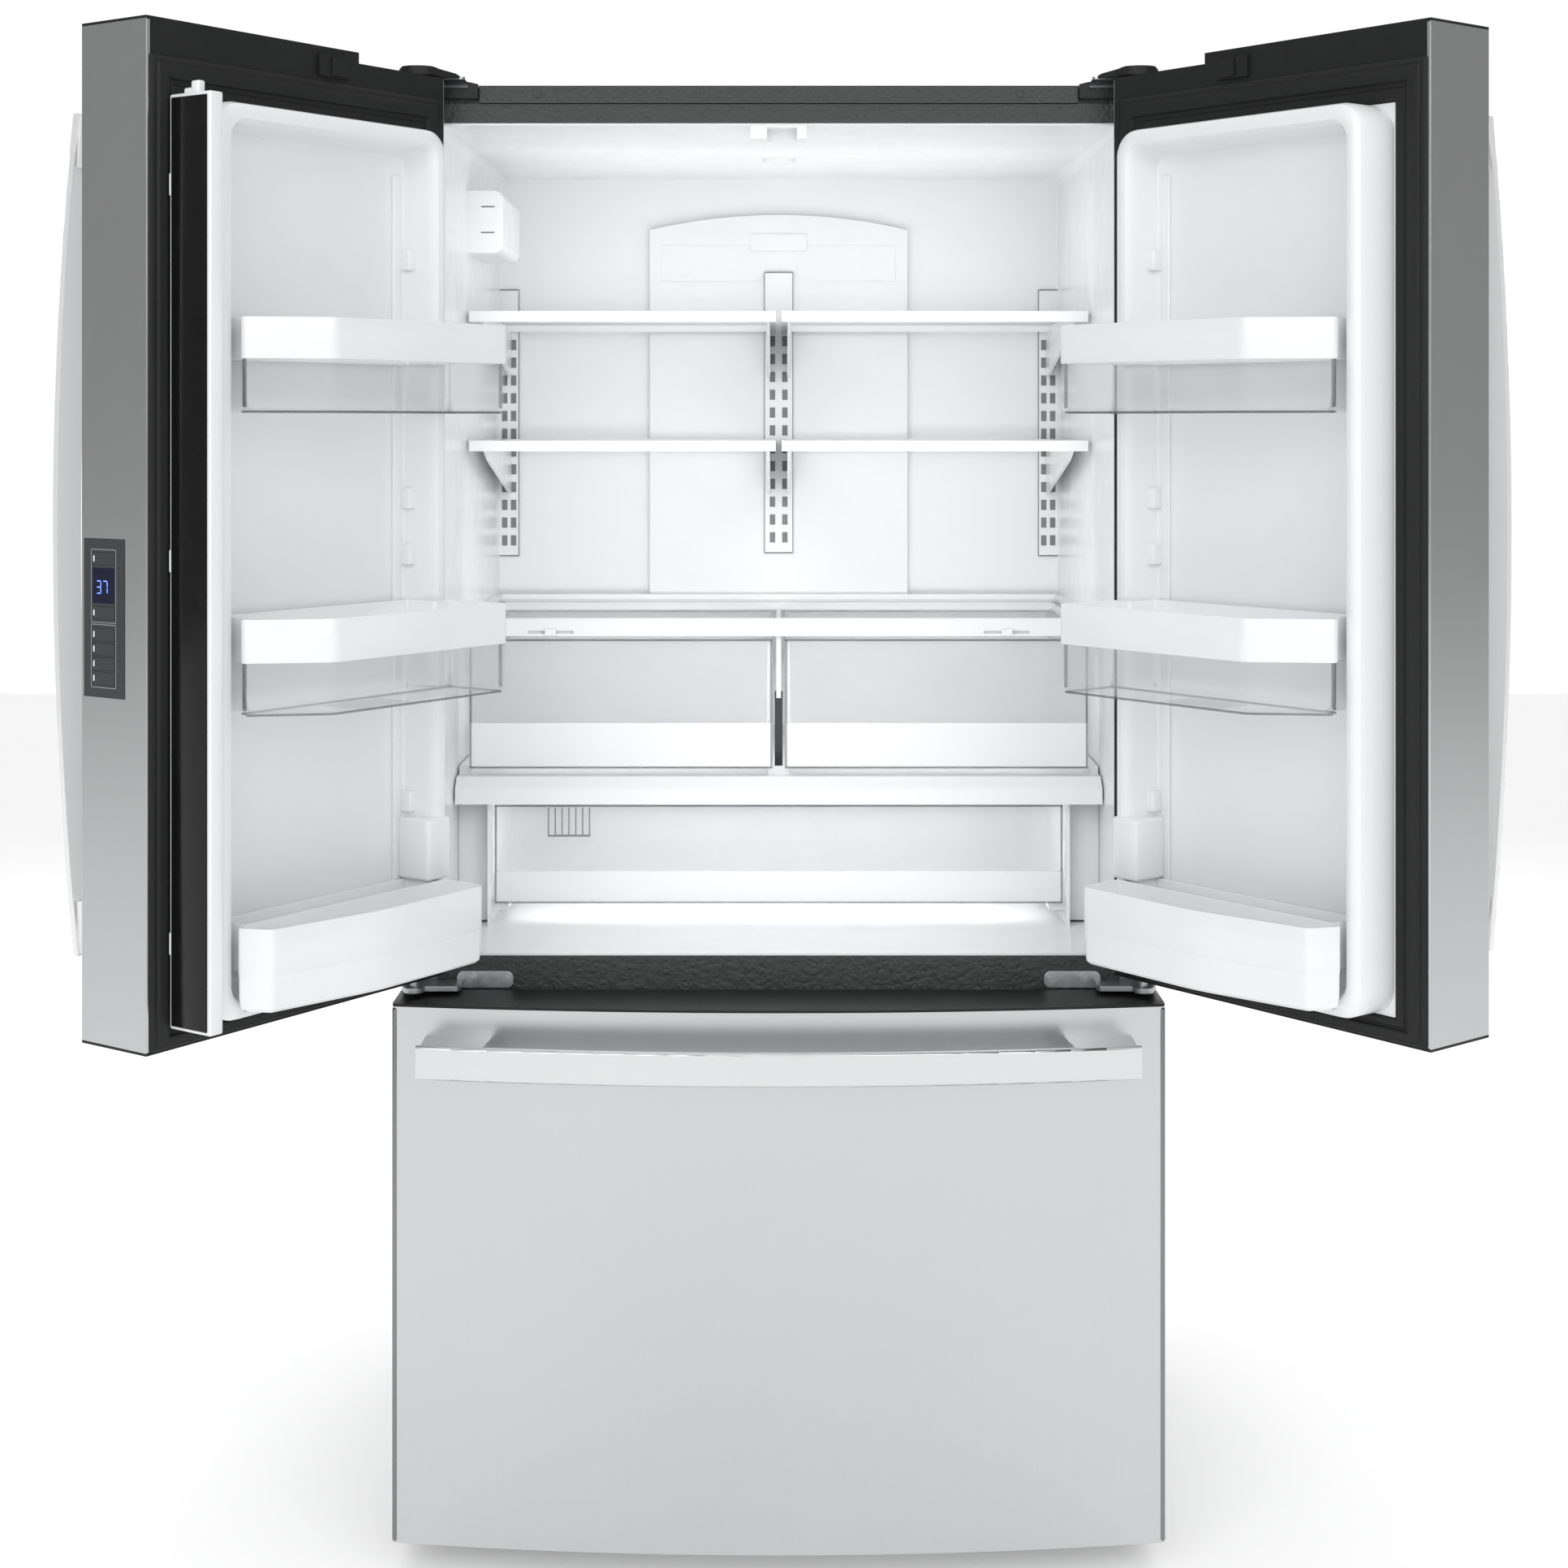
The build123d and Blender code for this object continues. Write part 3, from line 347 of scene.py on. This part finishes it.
def tint(tree, source, low, high):
    """Mix two colours by a noise."""
    ramp = tree.nodes.new("ShaderNodeValToRGB")
    ramp.color_ramp.elements[0].position = 0.3
    ramp.color_ramp.elements[0].color = (*low, 1)
    ramp.color_ramp.elements[1].position = 0.7
    ramp.color_ramp.elements[1].color = (*high, 1)
    tree.links.new(source, ramp.inputs["Fac"])
    return ramp.outputs["Color"]


def bump(tree, source, depth, strength=1.0):
    node = tree.nodes.new("ShaderNodeBump")
    node.inputs["Strength"].default_value = strength
    node.inputs["Distance"].default_value = depth
    tree.links.new(source, node.inputs["Height"])
    return node


def grained(name, low, high, rough, grain=60.0, stretch=(1, 1, 1), depth=0.0002, metallic=0.0, coat=0.0,
            specular=0.5):
    """A surface whose colour, roughness and relief all vary: slowly across it, and finely in its grain."""
    material, tree, shader = material_tree(name)
    fine = noise_at(tree, grain, stretch)
    broad = noise_at(tree, 3.0, (1, 1, 1), 2.0)
    mix = tree.nodes.new("ShaderNodeMath")
    mix.operation = "ADD"
    half = tree.nodes.new("ShaderNodeMath")
    half.operation = "MULTIPLY"
    half.inputs[1].default_value = 0.5
    tree.links.new(fine.outputs["Fac"], mix.inputs[0])
    tree.links.new(broad.outputs["Fac"], mix.inputs[1])
    tree.links.new(mix.outputs[0], half.inputs[0])
    tree.links.new(tint(tree, half.outputs[0], low, high), shader.inputs["Base Color"])
    tree.links.new(spread(tree, fine.outputs["Fac"], *rough), shader.inputs["Roughness"])
    relief = bump(tree, fine.outputs["Fac"], depth)
    tree.links.new(relief.outputs["Normal"], shader.inputs["Normal"])
    shader.inputs["Metallic"].default_value = metallic
    shader.inputs["Coat Weight"].default_value = coat
    shader.inputs["Specular IOR Level"].default_value = specular
    return material


def brushed_steel(name, low, high, rough, along=(40, 40, 0.4)):
    """Stainless sheet with long fine scratches along its smallest factor."""
    return grained(name, low, high, rough, 30.0, along, 0.00002, metallic=1.0)


def leather_grain(name, low, high, rough):
    """Paint over a wrinkled leather pattern."""
    material, tree, shader = material_tree(name)
    wrinkles = noise_at(tree, 95.0, (1, 1, 1.6), 3.0)
    cells = tree.nodes.new("ShaderNodeTexVoronoi")
    cells.feature = "DISTANCE_TO_EDGE"
    cells.inputs["Scale"].default_value = 130.0
    place = tree.nodes.new("ShaderNodeTexCoord")
    tree.links.new(place.outputs["Object"], cells.inputs["Vector"])
    joined = tree.nodes.new("ShaderNodeMath")
    joined.operation = "ADD"
    tree.links.new(wrinkles.outputs["Fac"], joined.inputs[0])
    tree.links.new(cells.outputs["Distance"], joined.inputs[1])
    tree.links.new(tint(tree, wrinkles.outputs["Fac"], low, high), shader.inputs["Base Color"])
    tree.links.new(spread(tree, wrinkles.outputs["Fac"], *rough), shader.inputs["Roughness"])
    tree.links.new(bump(tree, joined.outputs[0], 0.0012).outputs["Normal"], shader.inputs["Normal"])
    return material


def clear(name, low, high, rough, see):
    """Clear moulded plastic or glass: a faint grey body that things show through, with a slow ripple."""
    material = grained(name, low, high, rough, 14.0, depth=0.0002)
    material.node_tree.nodes["Principled BSDF"].inputs["Alpha"].default_value = see
    return material


steel = brushed_steel("stainless", (0.61, 0.615, 0.622), (0.635, 0.64, 0.645), (0.28, 0.33))
# Painted highlight: the side handles get a lighter, less metallic copy of the stainless, so they look as bright as
# the band a curved handle catches from the front lights.
highlight_bar_steel = brushed_steel("handle_painted_highlight", (0.93, 0.933, 0.936), (0.95, 0.952, 0.954), (0.2, 0.24))
cross_steel = brushed_steel("cross_steel", (0.69, 0.695, 0.70), (0.72, 0.725, 0.73), (0.2, 0.24),
                            (0.4, 40, 40))
highlight_bar_steel.node_tree.nodes["Principled BSDF"].inputs["Metallic"].default_value = 0.35
cross_steel.node_tree.nodes["Principled BSDF"].inputs["Metallic"].default_value = 0.9
case_paint = grained("case_paint", (0.20, 0.205, 0.21), (0.25, 0.255, 0.26), (0.42, 0.55), 900.0,
                     depth=0.0002)
trim = grained("door_trim", (0.010, 0.0105, 0.0105), (0.018, 0.0185, 0.0185), (0.4, 0.5), 700.0,
               depth=0.0001, specular=0.3)
dark_metal = leather_grain("dark_metal", (0.030, 0.033, 0.032), (0.045, 0.049, 0.048), (0.38, 0.55))
rubber = grained("gasket_rubber", (0.010, 0.0105, 0.0105), (0.018, 0.0185, 0.0185), (0.5, 0.6), 400.0,
                 depth=0.0001, specular=0.3)
white = grained("white_plastic", (0.865, 0.87, 0.88), (0.885, 0.89, 0.895), (0.20, 0.25), 20.0,
                depth=0.00002, coat=0.15)
liner_white = grained("liner_white", (0.87, 0.875, 0.885), (0.885, 0.89, 0.898), (0.22, 0.27), 22.0,
                      depth=0.00002, coat=0.1)
clear_plastic = clear("clear_plastic", (0.82, 0.83, 0.84), (0.88, 0.89, 0.90), (0.04, 0.10), 0.14)
drawer_clear = clear("drawer_clear", (0.86, 0.865, 0.875), (0.90, 0.905, 0.91), (0.04, 0.10), 0.34)
# Painted shade: a dark grey for lines where clear plastic turns edge-on and looks dark, and for painted shadow
# strips under the drawers.
clear_edge_shade = clear("clear_edge_shade", (0.12, 0.125, 0.13), (0.18, 0.185, 0.19), (0.04, 0.10), 0.45)
glass = clear("shelf_glass", (0.70, 0.74, 0.73), (0.78, 0.82, 0.81), (0.03, 0.07), 0.10)
zinc = grained("zinc_steel", (0.46, 0.47, 0.48), (0.60, 0.61, 0.62), (0.28, 0.42), 90.0, metallic=1.0)
foam = grained("foam", (0.70, 0.64, 0.42), (0.80, 0.75, 0.55), (0.75, 0.9), 120.0, depth=0.001)
gloss_black = grained("black_steel", (0.004, 0.004, 0.0042), (0.007, 0.007, 0.0075), (0.12, 0.2), 40.0,
                      depth=0.00003, specular=0.3)
black_paint = grained("compressor_paint", (0.012, 0.012, 0.012), (0.022, 0.022, 0.022), (0.3, 0.45), 160.0)
fins = brushed_steel("fin_aluminium", (0.62, 0.63, 0.64), (0.74, 0.75, 0.76), (0.3, 0.42), (1, 40, 40))
panel_film = grained("panel_plastic", (0.032, 0.034, 0.037), (0.045, 0.047, 0.05), (0.35, 0.45), 1200.0,
                     depth=0.0001)
brass = grained("brass", (0.50, 0.36, 0.13), (0.62, 0.47, 0.2), (0.25, 0.4), 80.0, metallic=1.0)

SLOT_MATERIALS = {
    "case_paint": case_paint, "stainless": steel, "door_trim": trim, "dark_metal": dark_metal,
    "gasket_rubber": rubber, "white_plastic": white, "clear_plastic": clear_plastic, "shelf_glass": glass,
    "zinc_steel": zinc, "foam": foam, "black_steel": gloss_black, "compressor_paint": black_paint,
    "fin_aluminium": fins, "panel_plastic": panel_film, "brass": brass,
}
for subpart in frame["record"]["subparts"]:
    node = nodes[subpart["node"]]
    node.data.materials.clear()
    node.data.materials.append(SLOT_MATERIALS[subpart["material_slot"]])
# The side handles get the lighter copy of the stainless, a painted highlight.
nodes["left_handle"].data.materials[0] = highlight_bar_steel
nodes["right_handle"].data.materials[0] = highlight_bar_steel
nodes["freezer_handle"].data.materials[0] = cross_steel
nodes["shelf_frames"].data.materials[0] = white
nodes["shelf_ladders"].data.materials[0] = liner_white

floor_paint = grained("floor_paint", (0.90, 0.90, 0.90), (0.93, 0.93, 0.93), (0.6, 0.7), 6.0)
floor_build = bmesh.new()
FLOOR_HALF = 9.0
bmesh.ops.create_grid(floor_build, x_segments=2, y_segments=2, size=FLOOR_HALF)
bmesh.ops.translate(floor_build, verts=floor_build.verts, vec=(0, 0, -0.001))
floor_paint.node_tree.nodes["Principled BSDF"].inputs["Emission Color"].default_value = (1, 1, 1, 1)
floor_paint.node_tree.nodes["Principled BSDF"].inputs["Emission Strength"].default_value = 0.2
floor = new_object("floor", mesh_of(floor_build))
floor.data.materials.append(floor_paint)

# ---------------------------------------------------------------- cabinet interior
INNER_HALF = 412.0
FOOD_FLOOR, FOOD_CEILING = 713.0, 1714.0


def food_liner():
    """The moulded inside of the upper compartment: rounded corners and a soft turn into the back wall."""
    def around(depth, grow, radius):
        return upright(rounded_rectangle((-INNER_HALF + grow, INNER_HALF - grow),
                                         (FOOD_FLOOR + grow, FOOD_CEILING - grow), radius, 8), depth)

    build = bmesh.new()
    loft(build, [
        around(702.4, -2.3, 10), around(90, -2.3, 10), around(82.5, -2.3, 10), around(82.2, 0.5, 8),
        around(86, 0.4, 10), around(120, 0.6, 14), around(660, 1.4, 16), around(690, 2.0, 14),
        around(697, 3.4, 12), around(699.4, 6, 10), around(699.9, 10, 8),
    ])
    return build


finish_piece("food_liner_shell", food_liner(), "cabinet", liner_white, ["fresh_food_liner"])

# ---------------------------------------------------------------- painted shade in slots and gaps, painted shadow lines round the ladders, and the freezer's side edges
SLOT_PITCH, SLOT_MARGIN = 26, 50
# Painted shade: one dark grey for the ladder slots and the shadow lines round the ladders, where only shade falls.
slot_shadow = grained("slot_shadow", (0.20, 0.202, 0.205), (0.25, 0.252, 0.255), (0.5, 0.6), 90.0,
                      depth=0.00005)
edge_steel = brushed_steel("edge_steel", (0.24, 0.243, 0.247), (0.28, 0.283, 0.287), (0.3, 0.36))


def ladder_slot_shade(build, slot_x, z, depth):
    """Painted shade: dark blocks just behind a ladder's face, one in each slot, where the slots fall in shade."""
    rows = int((z[1] - z[0] - SLOT_MARGIN) // SLOT_PITCH)
    for slot in slot_x:
        for row in range(rows):
            low = z[0] + 14 + row * SLOT_PITCH
            soft_block(build, (slot - 3.9, slot + 3.9), (depth + 1.2, depth + 2.4), (low + 0.1, low + 14.9),
                       0.2, 1)


def ladder_shadow_line(build, x, z, depth):
    """A thin painted shadow line around a strip, standing a little out of the wall behind it."""
    for edge in x:
        soft_block(build, (edge - 0.7, edge + 0.7), (depth + 1.5, depth + 3.9), z, 0.3, 1)
    for edge in z:
        soft_block(build, x, (depth + 1.5, depth + 3.9), (edge - 0.9, edge + 0.9), 0.3, 1)


CENTRE_LADDER_FACE, SIDE_LADDER_FACE = 683.5, 695.5
# Painted shade behind the ladders' slots and painted shadow lines round their strips.
slot_shade_build = bmesh.new()
ladder_slot_shade(slot_shade_build, (-9, 9), (1166, 1573), CENTRE_LADDER_FACE)
ladder_shadow_line(slot_shade_build, (-20.4, 20.4), (1165, 1574), CENTRE_LADDER_FACE)
for side in (-1, 1):
    ladder_slot_shade(slot_shade_build, (side * 388, side * 401), (1161, 1548), SIDE_LADDER_FACE)
    ladder_shadow_line(slot_shade_build, tuple(sorted((side * 380.6, side * 409))), (1160, 1549), SIDE_LADDER_FACE)
# Painted shade in two thin slots near the left wall.
for low in (1604, 1638):
    soft_block(slot_shade_build, (-391.5, -374.5), (342.7, 343.6), (low, low + 2), 0.3, 1)
finish_piece("painted_slot_shadows", slot_shade_build, "cabinet", slot_shadow)
# Painted shadow: a dark strip standing in the gap between the two crispers, where only shade falls.
gap_shade_build = bmesh.new()
soft_block(gap_shade_build, (-5, 5), (262, 264), (912, 1010), 0.5, 1)
finish_piece("crisper_gap_shadow", gap_shade_build, "cabinet", trim)

edges_build = bmesh.new()
for side in (-1, 1):
    x = sorted((side * 447.2, side * 453.8))
    soft_block(edges_build, x, (-1.7, 40), (41.5, 668), 2.6, 3)
finish_piece("freezer_side_edges", edges_build, "freezer_drawer", edge_steel)

# ---------------------------------------------------------------- drawers inside
CRISPERS = {"left": (-394.0, -8.0), "right": (8.0, 394.0)}
CRISPER_Z = (915.5, 1078.5)
PANTRY_X, PANTRY_Z = (-362, 362), (743.5, 867.5)
DRAWER_Y = (240, 686)


def drawer_box(x, y, z, front_x, white_height):
    """A clear tray, and the white moulding along the bottom and the rim of its front."""
    clear_build = bmesh.new()
    tray(clear_build, rounded_rectangle(x, (y[0] + 4.5, y[1]), 12), z, 3.0, 8.0, 14.0)
    white_build = bmesh.new()
    soft_block(white_build, front_x, (y[0] + 0.2, y[0] + 4.2), (z[0] + 0.5, z[0] + white_height), 1.8, 3)
    return clear_build, white_build


def drawer_edge_shade(build, x, z, depth):
    """Painted shade: dark lines on the side and top edges of a drawer's clear front, and a painted shadow strip
    under it.
    """
    for edge in (x[0] + 1.5, x[1] - 1.5):
        soft_block(build, (edge - 1.2, edge + 1.2), (depth - 0.2, depth + 3), z, 0.6, 2)
    soft_block(build, x, (depth - 0.2, depth + 3), (z[1] - 2.4, z[1]), 0.6, 2)
    # Painted shadow: a dark strip under the drawer's white front.
    soft_block(build, x, (depth + 1, depth + 5), (z[0] - 1.8, z[0] + 0.8), 0.6, 2)


for side, x in CRISPERS.items():
    clear_build, white_build = drawer_box(x, DRAWER_Y, CRISPER_Z, x, 57)
    soft_block(clear_build, x, (240.4, 243.6), (971, CRISPER_Z[1]), 1.2, 2)
    body = f"crisper_{side}"
    finish_piece(f"{body}_tray", clear_build, body, drawer_clear, [body])
    finish_piece(f"{body}_front", white_build, body, white)
    # Painted shade on the crisper's clear front edges, and a painted shadow under it.
    edge_shade_build = bmesh.new()
    drawer_edge_shade(edge_shade_build, x, CRISPER_Z, DRAWER_Y[0])
    finish_piece(f"{body}_edges", edge_shade_build, body, clear_edge_shade)

clear_build, white_build = drawer_box((-344, 344), DRAWER_Y, PANTRY_Z, PANTRY_X, 40)
soft_block(clear_build, PANTRY_X, (240.4, 243.6), (782.5, PANTRY_Z[1]), 1.2, 2)
finish_piece("pantry_tray", clear_build, "pantry_drawer", drawer_clear, ["pantry_drawer"])
finish_piece("pantry_front", white_build, "pantry_drawer", white)
# Painted shade on the pantry's clear front edges, and a painted shadow under it.
edge_shade_build = bmesh.new()
drawer_edge_shade(edge_shade_build, PANTRY_X, PANTRY_Z, DRAWER_Y[0])
# Seven dark bars and a line under them on the pantry front, in the same dark grey.
for bar in range(7):
    left = -294 + bar * 8.7
    soft_block(edge_shade_build, (left, left + 1.6), (239.6, 241), (829, 864), 0.5, 1)
soft_block(edge_shade_build, (-294, -240), (239.6, 241), (827, 829.5), 0.5, 1)
finish_piece("pantry_edge_shade", edge_shade_build, "pantry_drawer", clear_edge_shade)
fascia_build = bmesh.new()
for side in (-1, 1):
    soft_block(fascia_build, sorted((side * 364, side * 411)), (262, 266), (716, 870), 1.5, 2)
finish_piece("pantry_fascia", fascia_build, "cabinet", liner_white)


# ---------------------------------------------------------------- door gaskets and liners
def gasket(outer_x, outer_z, inner_x, inner_z, base, height):
    """A ridged magnetic seal around a rectangle, mitred at its corners."""
    profile = ((0.0, 0.0), (0.0, 0.35), (0.05, 0.5), (0.16, 0.55), (0.2, 0.9), (0.26, 1.0), (0.46, 1.0),
               (0.52, 0.88), (0.56, 0.5), (0.66, 0.42), (0.7, 0.62), (0.9, 0.62), (0.95, 0.45), (1.0, 0.0))
    build = bmesh.new()
    rows = []
    for share, lift in profile:
        x = [outer + (inner - outer) * share for outer, inner in zip(outer_x, inner_x)]
        z = [outer + (inner - outer) * share for outer, inner in zip(outer_z, inner_z)]
        y = base + height * lift
        rows.append([Vector((x[0], y, z[0])), Vector((x[1], y, z[0])), Vector((x[1], y, z[1])),
                     Vector((x[0], y, z[1]))])
    rows.append(rows[0])
    loft(build, rows, cap_start=False, cap_end=False)
    return build


SEAL = 8.4
finish_piece("freezer_seal", gasket((-440, 440), (60, 668), (-404, 404), (96, 632), 70.1, SEAL),
             "freezer_drawer", rubber, ["freezer_gasket"])

DIKE_X, DIKE_Z = (-400.0, -46.0), (725.0, 1693.0)
LUG_LEVELS = (1530, 1255, 1190, 905)
KNUCKLES = ((800.0, 824.0), (1198.0, 1222.0), (1590.0, 1614.0))
PIVOT = (-26.0, 84.8)


def door_liner(with_knuckles):
    """The raised white frame inside a door, its flat panel and the lugs for the bins."""
    def around(depth, grow, radius):
        return upright(rounded_rectangle((DIKE_X[0] + grow, DIKE_X[1] - grow),
                                         (DIKE_Z[0] + grow, DIKE_Z[1] - grow), radius, 8), depth)

    build = bmesh.new()
    loft(build, [
        around(70.2, 0.2, 1), around(71.2, 0.2, 1), around(71.8, 1.2, 29.5),
        around(118, 1.5, 29.5), around(125, 3.5, 28.5), around(128.6, 7.5, 26),
        around(129.8, 12, 24), around(129.8, 15, 23), around(128.6, 19, 21), around(124, 22.5, 19),
        around(116, 24.5, 18), around(98, 27, 17), around(88, 31, 16), around(83.5, 38, 14),
        around(82.2, 48, 12),
    ])
    soft_block(build, (-366, -352), (82, 86), (790, 1640), 1.8, 3)
    for low in LUG_LEVELS:
        for x in (DIKE_X[0] + 30, DIKE_X[1] - 30):
            soft_block(build, (x - 7, x + 7), (84, 100), (low, low + 24), 2.5, 3)
    if with_knuckles:
        for low, high in KNUCKLES:
            soft_block(build, (DIKE_X[1] - 6, PIVOT[0] + 3.8), (81.1, 88.5), (low, high), 1.5, 2)
    return build


# ---------------------------------------------------------------- door bins
UPPER_BIN = [(-397, 131, 2), (-76, 131, 2), (-57, 152, 8), (-125, 220, 22), (-397, 222, 9)]
LOWER_BIN = [(-390, 131, 2), (-76, 131, 2), (-62, 142, 4), (-77, 176, 12), (-215, 199, 260), (-386, 196, 12)]
BIN_BACK_HINGE = [(-372, 131, 1), (-372, 88, 6), (-78, 88, 6), (-78, 131, 1)]


def with_back(front):
    """A bin's front outline with the part that sits inside the liner's rim put in its back edge."""
    return rounded_polygon(front[:1] + BIN_BACK_HINGE + front[1:])


def bin_pieces(side):
    """Two clear bins under white bands, and a deep white bin at the bottom."""
    deep, low_deep = with_back(UPPER_BIN), with_back(LOWER_BIN)
    low_front = rounded_polygon(LOWER_BIN)
    clear_build, bin_edge_shade_build, white_build = bmesh.new(), bmesh.new(), bmesh.new()
    for low, middle, high in ((1364.5, 1421, 1464.5), (1048.5, 1104, 1149.5)):
        tray(clear_build, inset(deep, 1.2), (low, middle + 3), 2.2, 7, 16)
        band(white_build, deep, (middle, high), 3.2)
        soft_block(clear_build, (-260, -180), (150, 205), (low - 0.3, low + 1.5), 0.6, 1)
        # Painted shade: dark lines round the bottom of each clear bin and up its corners, where clear plastic
        # turns edge-on.
        band(bin_edge_shade_build, inset(rounded_polygon(UPPER_BIN), 4.5), (low, low + 2.4), 2.4, 0.8)
        for x, y in ((-63, 151), (-78, 134), (-391, 214)):
            soft_block(bin_edge_shade_build, (x - 1.6, x + 1.6), (y - 1.6, y + 1.6), (low + 6, middle), 0.8, 2)
    tray(white_build, low_front, (740.4, 827.6), 2.6, 7, 14)
    band(white_build, low_deep, (778, 827.8), 2.6)
    soft_block(white_build, (-398.5, -359), (84, 133), (828.4, 900), 5, 3)
    finish_door_piece(f"{side}_bin_trays", clear_build, side, clear_plastic)
    finish_door_piece(f"{side}_bin_edge_shade", bin_edge_shade_build, side, clear_edge_shade)
    finish_door_piece(f"{side}_bin_bands", white_build, side, white, [f"{side}_bins"])


for side in ("left", "right"):
    seal = gasket((-440, -6), (701, 1737), (-400.4, -45.6), (724.6, 1693.4), 70.1, SEAL)
    finish_door_piece(f"{side}_seal", seal, side, rubber, [f"{side}_gasket"])
    finish_door_piece(f"{side}_inner_shell", door_liner(side == "left"), side, liner_white,
                      [f"{side}_liner"])
    bin_pieces(side)


# ---------------------------------------------------------------- sheet hems on the free edges
for side in ("left", "right"):
    hem = bmesh.new()
    soft_block(hem, (-6.2, -2.2), (69.6, 71.0), (701, 1773), 0.5, 2)
    finish_door_piece(f"{side}_hem", hem, side, steel)

# ---------------------------------------------------------------- mullion
def fold(build):
    """Turn the mullion from across the gap to flat beside the left door's liner."""
    pivot = Vector((PIVOT[0], PIVOT[1], 0))
    bmesh.ops.rotate(build, verts=build.verts, cent=pivot, matrix=Matrix.Rotation(math.pi / 2, 3, "Z"))
    return build


housing = bmesh.new()
soft_block(housing, (-29.8, 31.8), (82.4, 100.2), (723.2, 1695.8), 2.2, 3)
soft_block(housing, (-2, 10), (86, 96), (1694, 1708.8), 2.5, 3)
soft_block(housing, (-14, 2), (87, 95), (1694, 1702), 2.5, 3)
finish_door_piece("mullion_housing", fold(housing), "left", white, ["mullion"], "mullion")
face = bmesh.new()
soft_block(face, (-25.5, 27.5), (80.4, 82.6), (727, 1692), 0.8, 2)
finish_door_piece("mullion_face", fold(face), "left", gloss_black, (), "mullion")


# ---------------------------------------------------------------- control panel graphics
def plain(name, color, rough, glow=0.0):
    """A small printed mark: nearly one colour, with a faint print grain."""
    darker = tuple(c * 0.92 for c in color)
    material = grained(name, darker, color, (rough, rough + 0.08), 2500.0, depth=0.00002)
    shader = material.node_tree.nodes["Principled BSDF"]
    shader.inputs["Emission Color"].default_value = (*color, 1)
    shader.inputs["Emission Strength"].default_value = glow
    return material


PANEL_FACE = -1.4
print_grey = plain("print_grey", (0.35, 0.37, 0.4), 0.4)
print_white = plain("print_white", (0.8, 0.82, 0.85), 0.4, 0.3)
display_glass = plain("display_glass", (0.006, 0.008, 0.03), 0.1)
digit_blue = plain("digit_blue", (0.12, 0.22, 0.95), 0.3, 2.2)
SEGMENTS = {"3": "abgcd", "7": "abc"}
SEGMENT_PLACES = {"a": (0, 1, True), "b": (0.5, 0.5, False), "c": (0.5, -0.5, False), "d": (0, -1, True),
                  "g": (0, 0, True)}


def line_frame(build, y, z, width, face):
    """A thin printed outline on the panel's face."""
    for low, high in ((y[0], y[0] + width), (y[1] - width, y[1])):
        soft_block(build, (face, face + 0.15), (low, high), z, 0.04, 1)
    for low, high in ((z[0], z[0] + width), (z[1] - width, z[1])):
        soft_block(build, (face, face + 0.15), y, (low, high), 0.04, 1)


def digits(build, text, y, z, height, face):
    """Seven-segment figures. They read from the free edge's side, where +Y runs to the right."""
    half = height / 2
    for index, figure in enumerate(text):
        middle = y + index * height * 0.78
        for segment in SEGMENTS[figure]:
            across, up, level_bar = SEGMENT_PLACES[segment]
            centre_y, centre_z = middle + across * half, z + up * half
            reach_y, reach_z = (half * 0.42, 0.55) if level_bar else (0.55, half * 0.42)
            soft_block(build, (face, face + 0.2), (centre_y - reach_y, centre_y + reach_y),
                       (centre_z - reach_z, centre_z + reach_z), 0.1, 1)


frames_build, glass_build, digit_build = (bmesh.new() for _ in range(3))
line_frame(frames_build, (-15.5, 24), (1143.5, 1221), 0.7, PANEL_FACE)
line_frame(frames_build, (-15.5, 24), (1075, 1142), 0.7, PANEL_FACE)
finish_door_piece("panel_frames", frames_build, "left", print_grey)
soft_block(glass_build, (PANEL_FACE - 0.1, PANEL_FACE + 0.2), (-13, 21.5), (1164, 1201.5), 0.1, 1)
finish_door_piece("panel_display", glass_build, "left", display_glass)
digits(digit_build, "37", -3, 1181, 13, PANEL_FACE + 0.2)
finish_door_piece("panel_digits", digit_build, "left", digit_blue)
for number in range(1, 7):
    low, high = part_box(f"key_{number}")
    key_low, key_high = low.z / MM, high.z / MM
    marks_build = bmesh.new()
    soft_block(marks_build, (-1.1, -0.95), (-11.5, -9.8), (key_low + 3.5, key_high - 3.5), 0.04, 1)
    finish_door_piece(f"key_{number}_mark", marks_build, "left", print_white, (),
                      f"key_{number}")
